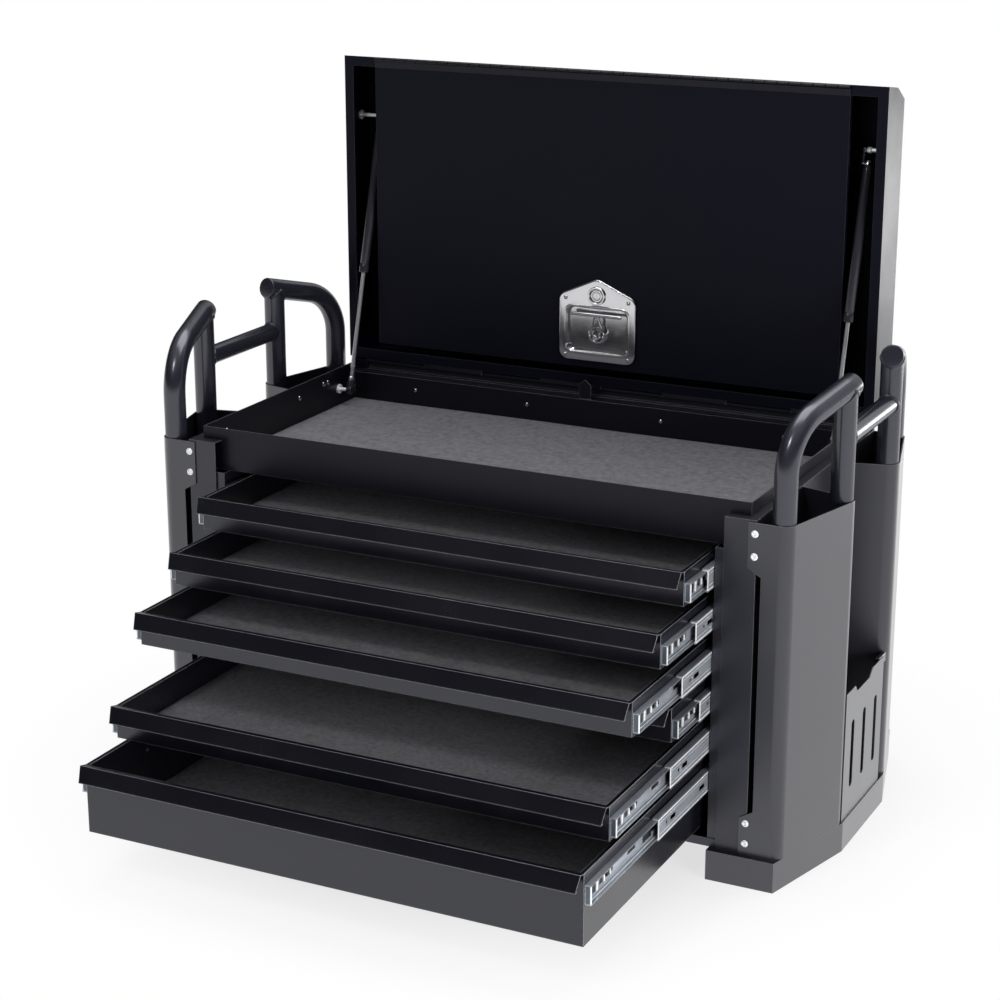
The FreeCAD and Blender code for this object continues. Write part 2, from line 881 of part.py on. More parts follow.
# Lid: a folded shell with a bevelled front edge and a rim turned inward, standing open
def make_lid_shell():
    thick = size("lid_gauge")
    back = rim_y + size("lid_depth")
    bevel_y = back - size("lid_bevel_depth")
    bevel_z = lid_front - size("lid_front_drop")
    corner_z = bevel_z - size("lid_bevel_length")
    bevel_slope = arc_tangent(size("lid_bevel_length"), size("lid_bevel_depth"))
    front_slope = arc_tangent(size("lid_front_drop"), size("lid_depth") - size("lid_bevel_depth"))
    outer = [
        (rim_y, lid_heel),
        (back, lid_heel),
        (back, corner_z),
        (bevel_y, bevel_z),
        (rim_y, lid_front),
    ]
    face_shift = thick * tangent(45.0 * Size("1", 1.0) - bevel_slope / 2)
    edge_shift = thick * tangent((bevel_slope - front_slope) / 2)
    inner = [
        (rim_y + thick, lid_heel + thick),
        (back - thick, lid_heel + thick),
        (back - thick, corner_z - face_shift),
        (bevel_y - edge_shift, bevel_z - thick),
        (rim_y + thick, lid_front - thick),
    ]
    half = size("lid_half_width")
    rim = size("lid_rim_width")
    window = rectangle(-half + rim, half - rim, lid_heel + rim, lid_front - rim)
    piece = Piece("lid_shell")
    piece.pad("YZ", outer, 2 * half, both=True)
    piece.cut("YZ", inner, 2 * (half - thick), both=True)
    piece.cut("XZ", window, thick + 2 * over, offset=-rim_y + over)
    return piece.body


# Continuous hinges: leaves with every second knuckle, and the pin with the fixed leaf
def knuckle_row(name, side, radius, bore, y, z, half_length, pitch, clearance):
    """Every second knuckle along X, as one fused row. Side 0 starts at the left end."""
    count = max(2, int(round(2 * half_length.value / pitch.value)))
    length = 2 * half_length / count - clearance
    made = []
    for index in range(side, count, 2):
        start = -half_length + 2 * half_length * index / count + clearance / 2
        spot = dict(x=start, y=y, z=z)
        made.append(cylinder(f"{name}_{index}", radius, length, axis=Y_AXIS, angle=QUARTER, **spot))
    row = fused(name, *made) if len(made) > 1 else made[0]
    return cut_from(name + "_bored", row, along_x(name + "_hole", bore, half_length + over, y, z))


def make_lid_hinge():
    """The rear hinge: its fixed leaf stands on the casing, its moving leaf lies under the lid's heel."""
    radius = size("hinge_knuckle_radius")
    thick = size("hinge_leaf_gauge")
    half = size("hinge_half_length")
    pitch = size("hinge_knuckle_length")
    space = size("hinge_knuckle_gap")
    pin = size("hinge_pin_radius")
    bore = pin + size("slide_seat")
    web_rear = axis_y + radius
    foot_front = rim_y + size("lid_axis_to_heel") + space
    fixed_leaf = Piece("lid_hinge_web")
    fixed_leaf.pad(
        "YZ",
        [
            (foot_front, case_top),
            (web_rear, case_top),
            (web_rear, axis_z),
            (web_rear - thick, axis_z),
            (web_rear - thick, case_top + thick),
            (foot_front, case_top + thick),
        ],
        2 * half,
        both=True,
    )
    relief = along_x("lid_hinge_relief", radius + gap, half + over, axis_y, axis_z)
    fixed_web = cut_from("lid_hinge_fixed_web", fixed_leaf.body, relief)
    fixed_row = knuckle_row("lid_hinge_fixed_knuckles", 0, radius, pin, axis_y, axis_z, half, pitch, space)
    ties = []
    count = max(2, int(round(2 * half.value / pitch.value)))
    for index in range(0, count, 2):
        start = -half + 2 * half * index / count + space / 2
        stop = start + 2 * half / count - space
        ties.append(
            box(
                f"lid_hinge_tie_{index}",
                (start, web_rear - thick, axis_z - radius - thick),
                (stop, web_rear, axis_z),
            )
        )
    pin_rod = along_x("lid_hinge_pin", pin, half, axis_y, axis_z)
    fixed = fused("lid_hinge_fixed_leaf", fixed_web, fixed_row, *ties, pin_rod)

    leaf_high = lid_heel - size("slide_seat")
    leaf_rear = axis_y + size("hinge_leaf_width")
    riser_front = axis_y - radius
    leaf = box("lid_hinge_flat", (-half, riser_front, leaf_high - thick), (half, leaf_rear, leaf_high))
    risers = []
    for index in range(1, count, 2):
        start = -half + 2 * half * index / count + space / 2
        stop = start + 2 * half / count - space
        low = (start, riser_front, axis_z)
        high = (stop, riser_front + thick, leaf_high)
        risers.append(box(f"lid_hinge_riser_{index}", low, high))
    moving_row = knuckle_row("lid_hinge_moving_knuckles", 1, radius, bore, axis_y, axis_z, half, pitch, space)
    clear_bore = along_x("lid_hinge_clear_bore", bore, half + over, axis_y, axis_z)
    moving_solid = fused("lid_hinge_moving_solid", leaf, moving_row, *risers)
    return [fixed, cut_from("lid_hinge_moving_leaf", moving_solid, clear_bore)]


flap_axis_y = rim_y - size("flap_axis_forward")
flap_axis_z = lid_front - size("flap_axis_drop")
flap_top = lid_front - size("flap_top_drop")
flap_bottom = flap_top - size("flap_length")
flap_face = rim_y - size("flap_gauge") - size("slide_seat")


def make_flap_hinge():
    """The small hinge along the lid's front edge: one leaf on the lid's rim, one under the flap's face."""
    radius = size("flap_knuckle_radius")
    half = size("flap_half_width")
    pitch = size("flap_knuckle_length")
    space = size("hinge_knuckle_gap")
    pin = size("flap_pin_radius")
    bore = pin + size("slide_seat")
    thick = size("flap_gauge")
    count = max(2, int(round(2 * half.value / pitch.value)))
    lid_parts = []
    flap_parts = []
    for index in range(count):
        start = -half + 2 * half * index / count + space / 2
        stop = start + 2 * half / count - space
        if index % 2 == 0:
            low = (start, flap_axis_y, flap_axis_z + radius - thick)
            lid_parts.append(box(f"flap_hinge_lid_tie_{index}", low, (stop, rim_y, flap_axis_z + radius)))
        else:
            low = (start, flap_face - thick - size("slide_seat"), flap_top - size("flap_leaf_width"))
            high = (stop, flap_face - size("slide_seat"), flap_axis_z)
            flap_parts.append(box(f"flap_hinge_leaf_{index}", low, high))
    spot = (flap_axis_y, flap_axis_z)
    lid_row = knuckle_row("flap_hinge_lid_knuckles", 0, radius, pin, *spot, half, pitch, space)
    pin_rod = along_x("flap_hinge_pin", pin, half, *spot)
    lid_leaf = fused("flap_hinge_lid_leaf", lid_row, pin_rod, *lid_parts)
    flap_row = knuckle_row("flap_hinge_flap_knuckles", 1, radius, bore, *spot, half, pitch, space)
    clear_bore = along_x("flap_hinge_clear_bore", bore, half + over, *spot)
    flap_solid = fused("flap_hinge_flap_solid", flap_row, *flap_parts)
    return [lid_leaf, cut_from("flap_hinge_flap_leaf", flap_solid, clear_bore)]


# Cover flap: a flat sheet with turned-back side and bottom edges, and an opening for the lock's pocket
def make_flap_panel():
    thick = size("flap_gauge")
    half = size("flap_half_width")
    depth = size("flap_edge_depth")
    edge_top = lid_front - size("lid_rim_width") - over
    piece = Piece("flap_panel")
    piece.pad("XZ", rectangle(-half, half, flap_bottom, flap_top), thick, offset=-flap_face - thick)
    edges = [
        (-half, flap_bottom),
        (half, flap_bottom),
        (half, edge_top),
        (half - thick, edge_top),
        (half - thick, flap_bottom + thick),
        (-half + thick, flap_bottom + thick),
        (-half + thick, edge_top),
        (-half, edge_top),
    ]
    piece.pad("XZ", edges, depth, offset=-flap_face - depth)
    pocket = size("lock_pocket_half") + size("lock_gauge") + gap
    low = size("lock_pocket_low") - size("lock_gauge") - gap
    high = size("lock_pocket_high") + size("lock_gauge") + gap
    piece.cut("XZ", rectangle(-pocket, pocket, low, high), thick + 2 * over, offset=-flap_face + over)
    hole = size("key_radius") + gap
    piece.bore("XZ", (0, size("key_height")), hole, thick + 2 * over, offset=-flap_face + over)
    return piece.body


# Lock: a gabled housing with a sunk pocket, a key cylinder, and a folding handle on a turning hub
lock_face = flap_face - size("lock_projection")


def make_lock():
    plate = size("lock_gauge")
    half = size("lock_half_width")
    low = size("lock_bottom")
    shoulder = size("lock_shoulder")
    corner = size("lock_corner")
    seat = size("slide_seat")
    outline = [
        (-half + corner, low),
        (half - corner, low),
        (half, low + corner),
        (half, shoulder),
        (0, size("lock_apex")),
        (-half, shoulder),
        (-half, low + corner),
    ]
    pocket_half = size("lock_pocket_half")
    pocket_low = size("lock_pocket_low")
    pocket_high = size("lock_pocket_high")
    depth = size("lock_pocket_depth")
    housing_rear = flap_face - seat
    pan = rectangle(-pocket_half - plate, pocket_half + plate, pocket_low - plate, pocket_high + plate)
    recess = rectangle(-pocket_half, pocket_half, pocket_low, pocket_high)
    housing = Piece("lock_housing")
    housing.pad("XZ", outline, housing_rear - lock_face, offset=-housing_rear)
    housing.pad("XZ", pan, depth + plate, offset=-lock_face - depth - plate)
    housing.cut("XZ", recess, depth + over, offset=-lock_face + over)
    key_z = size("key_height")
    housing.bore("XZ", (0, key_z), size("key_radius") + gap, depth + over, offset=-lock_face + over)
    hub_z = size("hub_height")
    housing.bore(
        "XZ", (0, hub_z), size("spindle_radius") + gap, depth + plate + 2 * over, offset=-lock_face + over
    )

    key = Piece("key_cylinder")
    key_front = lock_face - size("key_projection")
    key.disc("XZ", (0, key_z), size("key_radius"), size("key_length"), offset=-key_front - size("key_length"))
    key_slot_half_share = 0.09
    slot_half = size("key_radius") * key_slot_half_share
    slot_reach = size("key_radius") / 2
    key.cut(
        "XZ",
        rectangle(-slot_half, slot_half, key_z - slot_reach, key_z + slot_reach),
        size("key_projection") + over,
        offset=-key_front + over,
    )

    hub = Piece("lock_hub")
    hub_rear = lock_face + depth - gap
    hub_front = lock_face - size("hub_projection")
    hub.disc("XZ", (0, hub_z), size("hub_radius"), hub_rear - hub_front, offset=-hub_rear)
    cam_front = lock_face + depth + plate + gap
    cam_rear = cam_front + size("cam_gauge")
    hub.disc("XZ", (0, hub_z), size("spindle_radius"), cam_rear - hub_rear + over, offset=-cam_rear)
    slot = size("hub_slot_half")
    arch_low = hub_z - size("hub_radius") * size("hub_slot_low_share")
    hub.cut(
        "XZ",
        rectangle(-slot, slot, arch_low, hub_z + size("hub_radius") + over),
        size("hub_projection") + size("handle_bar_radius") + size("handle_stem_gauge"),
        offset=-hub_front + over,
    )
    cam_half = size("cam_width") / 2
    cam = rectangle(-cam_half, cam_half, hub_z - size("cam_length"), hub_z + cam_half)
    hub.pad("XZ", cam, size("cam_gauge"), offset=-cam_rear)
    pin = size("handle_pin_radius")
    pin_half = slot + size("handle_pin_grip")
    pin_z = hub_z - size("handle_stem_width") / 4
    hub.bore("YZ", (lock_face, pin_z), pin + seat, 2 * (pin_half + gap), both=True)

    bar = size("handle_bar_radius")
    bar_y = lock_face - bar - over
    bar_z = size("handle_bar_height")
    bar_half = size("handle_bar_half")
    stem_low = hub_z - size("handle_stem_width") / 2
    stem_front = bar_y - size("handle_stem_gauge") / 2
    stem_rear = bar_y + size("handle_stem_gauge") / 2
    stem_half = slot - gap
    handle = fused(
        "lock_handle",
        along_x("handle_bar", bar, bar_half, bar_y, bar_z),
        along_x("handle_pin", pin, pin_half, lock_face, pin_z),
        box("handle_stem", (-stem_half, stem_front, stem_low), (stem_half, stem_rear, bar_z)),
        box("handle_foot", (-stem_half, stem_front, stem_low), (stem_half, lock_face + pin, hub_z)),
    )
    return [housing.body, key.body, hub.body, handle]


# Gas struts: a rod on the tray's side wall and a cylinder on the lid
strut_x = tray_half - size("strut_inset")
strut_low_y = tray_rear - size("strut_low_setback")
strut_low_z = size("tray_rim") - size("strut_low_drop")
strut_high_y = rim_y + size("strut_high_depth")
strut_high_z = lid_front - size("strut_high_drop")
strut_dy = strut_high_y - strut_low_y
strut_dz = strut_high_z - strut_low_z
strut_length = root(strut_dy * strut_dy + strut_dz * strut_dz)
strut_lean = arc_tangent(strut_dy, strut_dz)


def make_strut_rod():
    ball = size("ball_radius")
    socket = size("socket_radius")
    half = size("socket_half_length")
    rod = size("strut_rod_radius")
    reach = strut_length * size("strut_rod_reach_share")
    piece = Piece("strut_rod_right")
    piece.disc("YZ", (0, 0), socket, 2 * half, both=True)
    piece.disc("XY", (0, 0), rod, reach)
    piece.disc("XY", (0, 0), (socket + rod) / 2, socket + half)
    head = size("strut_bore_radius") - size("strut_clearance")
    piece.disc("XY", (0, 0), head, half, offset=reach - half)
    piece.bore("YZ", (0, 0), ball + size("strut_clearance"), 2 * (half + over), both=True)
    place(piece.body, strut_x, strut_low_y, strut_low_z, axis=X_AXIS, angle=-strut_lean)
    return piece.body


def make_strut_cylinder():
    start = strut_length * size("strut_tube_start_share")
    collar = size("strut_collar_length")
    tube = size("strut_tube_radius")
    clear = size("strut_clearance")
    end = strut_length - size("strut_end_length")
    tongue = size("tongue_half_width")
    piece = Piece("strut_cylinder_right")
    piece.disc("XY", (0, 0), tube, end - start, offset=start)
    piece.disc("XY", (0, 0), size("strut_collar_radius"), collar, offset=start)
    piece.bore("XY", (0, 0), size("strut_rod_radius") + clear, collar + over, offset=start + collar)
    piece.bore("XY", (0, 0), size("strut_bore_radius"), end - 2 * collar - start, offset=end - collar)
    flat = rectangle(-tongue, tongue, end - over, strut_length + tongue)
    inboard = -size("ball_radius") - clear
    piece.pad("YZ", flat, size("tongue_gauge"), offset=inboard - size("tongue_gauge"))
    neck = rectangle(-tongue, tongue, end - over, end + tongue)
    piece.pad("YZ", neck, 2 * tongue, both=True)
    place(piece.body, strut_x, strut_low_y, strut_low_z, axis=X_AXIS, angle=-strut_lean)
    return piece.body


def ball_stud(name, x, y, z, wall_x):
    """A ball on a pin that stands out of a wall at wall_x, turned as one profile about its X axis."""
    ball = size("ball_radius")
    pin = size("stud_radius")
    base = size("stud_base_radius")
    reach = wall_x - x
    foot = reach - size("stud_base_length")
    neck = root(ball * ball - pin * pin)
    corners = [(neck, pin), (foot, pin), (foot, base), (reach, base), (reach, 0), (-ball, 0)]
    spots = [Vector(as_number(a), as_number(b), 0) for a, b in corners]
    body = doc.addObject("PartDesign::Body", name)
    drawing = sketch_on(body, "profile_" + name, "XY", 0)
    last = len(corners) - 1
    for i in range(last):
        drawing.addGeometry(Part.LineSegment(spots[i], spots[i + 1]), False)
    circle = Part.Circle(Vector(), Z_AXIS, as_number(ball))
    start = math.atan2(as_number(pin), as_number(neck))
    drawing.addGeometry(Part.ArcOfCircle(circle, start, math.pi), False)
    for i in range(1, last):
        drawing.addConstraint(Sketcher.Constraint("Coincident", i - 1, 2, i, 1))
    drawing.addConstraint(Sketcher.Constraint("Coincident", last, 1, 0, 1))
    drawing.addConstraint(Sketcher.Constraint("Coincident", last, 2, last - 1, 2))
    for i in range(last):
        hold_point(drawing, i, 1, *corners[i])
    hold_point(drawing, last - 1, 2, *corners[last])
    drawing.addConstraint(Sketcher.Constraint("DistanceY", -1, 1, last, 3, 0.0))
    turned = body.newObject("PartDesign::Revolution", "turned_" + name)
    turned.Profile = drawing
    turned.ReferenceAxis = (drawing, ["H_Axis"])
    place(body, x, y, z)
    return body


def make_ball_studs():
    lid_wall = size("lid_half_width") - size("lid_gauge")
    low = ball_stud("tray_stud_right", strut_x, strut_low_y, strut_low_z, tray_half - gauge)
    high = ball_stud("lid_stud_right", strut_x, strut_high_y, strut_high_z, lid_wall)
    return [
        grouped("tray_ball_studs", low, mirrored("tray_stud_left", low, X_AXIS)),
        grouped("lid_ball_studs", high, mirrored("lid_stud_left", high, X_AXIS)),
    ]


# Slides: three nested channels on each side of a drawer
slide_inner = size("drawer_half_width") + size("slide_seat")
slide_outer = panel_inner - size("slide_seat")
play = size("slide_play")
rail = size("slide_gauge")
track = size("slide_track_gauge")
outer_half = size("slide_height") / 2
middle_half = outer_half - rail - play
inner_half = middle_half - track - play


def channel(name, web, flange_tip, half_height, web_gauge, flange_gauge, centre, start, slotted=False):
    """A channel along Y whose web is at one X and whose flanges reach towards another."""
    sign = 1 if flange_tip.value > web.value else -1
    web_face = web + sign * web_gauge
    section = [
        (web, centre - half_height),
        (flange_tip, centre - half_height),
        (flange_tip, centre - half_height + flange_gauge),
        (web_face, centre - half_height + flange_gauge),
        (web_face, centre + half_height - flange_gauge),
        (flange_tip, centre + half_height - flange_gauge),
        (flange_tip, centre + half_height),
        (web, centre + half_height),
    ]
    piece = Piece(name)
    piece.pad("XZ", section, size("slide_length"), offset=-start - size("slide_length"))
    if slotted:
        cut_slide_slots(piece, web, centre, start)
    return piece.body


def cut_slide_slots(piece, web, centre, start):
    """A row of long holes in the web, evenly spaced along the slide."""
    count = int(size("slide_slot_count").value)
    length = size("slide_slot_length")
    half = size("slide_slot_width") / 2
    for index in range(count):
        middle = start + size("slide_length") * (index + 1) / (count + 1)
        outline = rectangle(middle - length / 2, middle + length / 2, centre - half, centre + half)
        piece.cut("YZ", outline, rail + 2 * over, offset=web + rail + over)


def slide_centre(number):
    """The height of a drawer's slides."""
    return size("drawer_top_" + number) - size("slide_drop") - outer_half


closed_front = size("drawer_closed_front")
slide_start = closed_front + size("drawer_gauge") + gap


def make_cabinet_slides():
    """The fixed members of all six drawers, both sides."""
    tip = slide_inner + rail + 2 * play
    members = []
    for number in DRAWERS:
        name = f"cabinet_member_{number}"
        centre = slide_centre(number)
        right = channel(name, slide_outer, tip, outer_half, rail, rail, centre, slide_start)
        members += [right, mirrored(name + "_left", right, X_AXIS)]
    return grouped("cabinet_slides", *members)


def make_middle_slides(number):
    web = slide_outer - rail - play
    tip = slide_inner + rail + play
    start = slide_start - size("drawer_pull_" + number) / 2
    right = channel(
        f"middle_member_{number}", web, tip, middle_half, rail, track, slide_centre(number), start
    )
    left = mirrored(f"middle_member_{number}_left", right, X_AXIS)
    return grouped("middle_slides_" + number, right, left)


def make_drawer_slides(number):
    tip = slide_outer - 2 * rail - 2 * play
    start = slide_start - size("drawer_pull_" + number)
    right = channel(
        f"drawer_member_{number}", slide_inner, tip, inner_half, rail, rail, slide_centre(number), start, True
    )
    left = mirrored(f"drawer_member_{number}_left", right, X_AXIS)
    return grouped("drawer_slides_" + number, right, left)


# Drawers: a folded pan, and a front with a lip that turns out, down and back
def make_drawer(number, height_name):
    thick = size("drawer_gauge")
    half = size("drawer_half_width")
    front = closed_front - size("drawer_pull_" + number)
    rear = front + size("drawer_length")
    top = size("drawer_top_" + number)
    bottom = top - size(height_name)
    lip_back = front
    lip_front = front - size("lip_depth")
    lip_low = top - size("lip_height")
    toe = lip_front - size("lip_slant")
    panel_top = top - size("lip_rise")
    piece = Piece("drawer_" + number)
    piece.pad("XY", rectangle(-half, half, front, rear), panel_top - bottom, offset=bottom)
    inner = rectangle(-half + thick, half - thick, front + thick, rear - thick)
    piece.cut("XY", inner, panel_top - bottom - thick, offset=panel_top)
    lip = [
        (lip_back, panel_top - thick),
        (lip_front + thick, top - thick),
        (toe + thick, lip_low + thick),
        (toe + size("lip_return"), lip_low + thick),
        (toe + size("lip_return"), lip_low),
        (toe, lip_low),
        (lip_front, top),
        (lip_back + thick, panel_top),
        (lip_back + thick, panel_top - thick),
    ]
    lip_half = half + size("lip_end_margin")
    piece.pad("YZ", lip, 2 * lip_half, both=True)
    bevelled = lip_half - size("lip_end_bevel")
    for side in (-1, 1):
        corner = [
            (side * lip_half, top),
            (side * bevelled, lip_low),
            (side * bevelled, lip_low - over),
            (side * (lip_half + over), lip_low - over),
            (side * (lip_half + over), top),
        ]
        piece.cut("XZ", corner, front - toe + over, offset=over - toe)
        edges = sorted((side * half, side * (half - size("drawer_hem"))), key=as_number)
        hem = rectangle(*edges, front, rear)
        piece.pad("XY", hem, thick, offset=panel_top - thick)
    return piece.body


def make_drawer_liner(number, height_name):
    inset = size("drawer_gauge") + size("liner_margin")
    half = size("drawer_half_width") - inset
    front = closed_front - size("drawer_pull_" + number) + inset
    rear = front + size("drawer_length") - 2 * inset
    low = size("drawer_top_" + number) - size(height_name) + size("drawer_gauge")
    outline = rectangle(-half, half, front, rear)
    return Piece("drawer_liner_" + number).pad("XY", outline, size("liner_thickness"), offset=low).body


def with_mirror(right, left_label):
    return [right, mirrored(left_label, right, X_AXIS)]


nodes += [make_case_wrap(), make_case_floor()]
nodes += with_mirror(make_slide_panel(), "slide_panel_left")
nodes += with_mirror(make_plinth(), "plinth_left")
nodes.append(make_side_bin())
for maker, front_name, rear_name in (
    (make_corner_guard, "corner_guard_front", "corner_guard_rear"),
    (make_hoop, "hoop_front", "hoop_rear"),
):
    front_right = maker()
    rear_right = mirrored(rear_name + "_right", front_right, Y_AXIS)
    nodes += with_mirror(front_right, front_name + "_left")
    nodes += with_mirror(rear_right, rear_name + "_left")
nodes += with_mirror(make_upright_frame(), "upright_frame_left")
nodes += [make_top_tray(), make_tray_mat(), make_lid_shell(), make_flap_panel()]
nodes += make_lid_hinge()
nodes += make_flap_hinge()
nodes += make_lock()
nodes += with_mirror(make_strut_rod(), "strut_rod_left")
nodes += with_mirror(make_strut_cylinder(), "strut_cylinder_left")
nodes += make_ball_studs()
nodes.append(make_cabinet_slides())
for number, (_, _, height_name) in DRAWERS.items():
    nodes.append(make_drawer(number, height_name))
    nodes.append(make_drawer_liner(number, height_name))
    nodes.append(make_drawer_slides(number))
    nodes.append(make_middle_slides(number))

# Check every object, then write each sub-part
doc.recompute()
failed = [thing.Name for thing in doc.Objects if {"Invalid", "Error"} & set(thing.State)]
if failed:
    raise SystemExit(f"objects that failed: {failed}")
for node in nodes:
    if node.Shape.isNull() or not node.Shape.isValid():
        raise SystemExit(f"{node.Label} has no valid shape")
    if not re.fullmatch(r"[a-z0-9_]{1,59}", node.Label):
        raise SystemExit(f"{node.Label} is no plain name")
os.makedirs("parts", exist_ok=True)
for node in nodes:
    node.Shape.exportStep(f"parts/{node.Label}.step")
print(len(nodes), "nodes written")
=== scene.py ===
"""Machinist tool chest: finishes, small parts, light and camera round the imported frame.

Every length is in metres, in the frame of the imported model: +X to the right of someone who faces
the drawers, +Y to the rear, +Z up, with the origin on the floor under the middle of the chest.
"""
import json
import math

import bmesh
import bpy
import numpy as np
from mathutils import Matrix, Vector


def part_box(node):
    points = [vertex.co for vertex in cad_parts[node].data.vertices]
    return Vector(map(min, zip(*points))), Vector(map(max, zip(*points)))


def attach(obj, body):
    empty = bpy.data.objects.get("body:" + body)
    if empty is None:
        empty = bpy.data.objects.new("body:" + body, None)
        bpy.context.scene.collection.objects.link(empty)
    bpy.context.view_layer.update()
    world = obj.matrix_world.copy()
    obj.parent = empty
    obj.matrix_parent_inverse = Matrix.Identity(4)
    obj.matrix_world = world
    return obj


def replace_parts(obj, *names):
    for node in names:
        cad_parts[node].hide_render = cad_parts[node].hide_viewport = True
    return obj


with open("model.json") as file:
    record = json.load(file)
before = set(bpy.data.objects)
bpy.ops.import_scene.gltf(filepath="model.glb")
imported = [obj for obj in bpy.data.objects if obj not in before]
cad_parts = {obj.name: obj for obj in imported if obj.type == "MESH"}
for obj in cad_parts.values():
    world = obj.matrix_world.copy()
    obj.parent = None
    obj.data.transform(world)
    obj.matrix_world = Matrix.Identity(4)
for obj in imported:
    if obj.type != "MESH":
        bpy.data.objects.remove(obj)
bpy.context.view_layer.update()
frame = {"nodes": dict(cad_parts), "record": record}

MM = 0.001
X, Y, Z = np.eye(3)

# Sizes of the chest that the small parts are set out from
PIPE_RADIUS = 16.85 * MM
LEAN = math.radians(14.25)
LEG = np.array([499.13, -245.90]) * MM
LEG_PITCH = 143.0 * MM
PLINTH_TOP = 46.2 * MM
BEND_START = 611.0 * MM
BEND_RADIUS = 80.0 * MM
BEND_ANGLE = math.radians(76.5)
OVERHANG = 18.0 * MM
CROSS_TUBE_RADIUS = 14.8 * MM
CROSS_TUBE_HEIGHT = 637.0 * MM
GUARD_FRONT = -264.9 * MM
TRAY_HALF = 450.0 * MM
TRAY_BACK = 221.9 * MM
LOCK_FACE = 232.85 * MM
LOCK_POCKET_DEPTH = 16.0 * MM
POCKET_HALF = 54.0 * MM
POCKET_LOW = 628.0 * MM
POCKET_HIGH = 703.0 * MM
KEY_HEIGHT = 723.0 * MM
HUB_HEIGHT = 659.0 * MM
BAR_HEIGHT = 692.0 * MM
STRUT_HALF = 427.0 * MM
STRUT_LOW = np.array([168.0, 532.0]) * MM
STRUT_HIGH = np.array([292.0, 980.0]) * MM
FLAP_AXIS = np.array([238.6, 1080.3]) * MM
FLAP_HALF = 409.2 * MM
LID_AXIS = np.array([257.0, 564.0]) * MM
DRAWER_BACK_OFF = 448.0 * MM
CLOSED_FRONT = -221.0 * MM
SLIDE_DROP = 33.5 * MM
SLIDE_SET_BACK = 1.5 * MM
# Each drawer: height of its top edge, how far it is out, and the height of its box
DRAWERS = {
    1: (491.0 * MM, 119.7 * MM, 53.6 * MM),
    2: (427.0 * MM, 199.5 * MM, 53.6 * MM),
    3: (363.0 * MM, 293.0 * MM, 53.6 * MM),
    4: (302.5 * MM, 154.0 * MM, 53.6 * MM),
    5: (242.0 * MM, 363.2 * MM, 53.6 * MM),
    6: (180.0 * MM, 442.3 * MM, 108.0 * MM),
}
DEEP_DRAWER = 6
# The viewpoint, solved from the straight edges in the photograph
VIEW_LENS = 83.68
VIEW_PLACE = (1.50103, -3.14007, 1.52096)
VIEW_PITCH = math.radians(72.778)
VIEW_YAW = math.radians(26.425)


# Shader maths: a socket that takes Python's + and *
class Wire:
    """One output socket. A sum or a product with it adds the Math node that works it out."""

    def __init__(self, finish, socket):
        self.finish = finish
        self.socket = socket

    def _math(self, operation, first, second):
        return self.finish.node("ShaderNodeMath", {"operation": operation}, {0: first, 1: second})

    def __add__(self, other):
        return self._math("ADD", self, other)

    def __mul__(self, other):
        return self._math("MULTIPLY", self, other)

    __radd__ = __add__


class Finish:
    """A material, or the world, under construction, with its nodes."""

    def __init__(self, made, out="ShaderNodeOutputMaterial", coordinates="Object"):
        self.material = bpy.data.materials.new(made) if isinstance(made, str) else made
        self.material.use_nodes = True
        self.tree = self.material.node_tree
        self.tree.nodes.clear()
        self.out = self.tree.nodes.new(out)
        self.place = self.node("ShaderNodeTexCoord", {}, {}, coordinates)

    def node(self, kind, settings, sockets, output=0):
        """A node with its settings made first, then its sockets. Gives back one output."""
        made = self.tree.nodes.new(kind)
        for name, value in settings.items():
            setattr(made, name, value)
        for name, value in sockets.items():
            if isinstance(value, Wire):
                self.tree.links.new(value.socket, made.inputs[name])
            else:
                made.inputs[name].default_value = value
        return Wire(self, made.outputs[output])

    def stretched(self, scale):
        """Object coordinates, multiplied along each axis."""
        sockets = {"Vector": self.place, "Scale": scale}
        return self.node("ShaderNodeMapping", {"vector_type": "POINT"}, sockets)

    def noise(self, scale, detail, along=None, rough=0.55):
        """A cloudy pattern from 0 to 1, that many features to the metre."""
        where = self.place if along is None else self.stretched(along)
        sockets = {"Vector": where, "Scale": scale, "Detail": detail, "Roughness": rough}
        return self.node("ShaderNodeTexNoise", {}, sockets)

    def remapped(self, value, low, high, to_low=0.0, to_high=1.0):
        """A value spread from one range to another, and held at its ends."""
        sockets = {0: value, 1: low, 2: high, 3: to_low, 4: to_high}
        return self.node("ShaderNodeMapRange", {"clamp": True}, sockets)

    def blend(self, share, first, second):
        """Between two colours."""
        first, second = ((*c, 1) if isinstance(c, tuple) else c for c in (first, second))
        return self.node("ShaderNodeMix", {"data_type": "RGBA"}, {0: share, 6: first, 7: second}, 2)

    def rounded(self, radius):
        """The normal with its edges eased by that radius."""
        return self.node("ShaderNodeBevel", {"samples": 6}, {"Radius": radius})

    def bumped(self, height, depth, normal=None):
        """The normal tilted by the slope of a pattern that is so many metres deep."""
        sockets = {"Height": height, "Distance": depth, "Strength": 1.0}
        if normal is not None:
            sockets["Normal"] = normal
        return self.node("ShaderNodeBump", {}, sockets)

    def done(self, **sockets):
        """Feed the shader by its socket names, with spaces written as underscores."""
        named = {name.replace("_", " "): value for name, value in sockets.items()}
        shader = self.node("ShaderNodeBsdfPrincipled", {}, named)
        self.tree.links.new(shader.socket, self.out.inputs["Surface"])
        return self.material


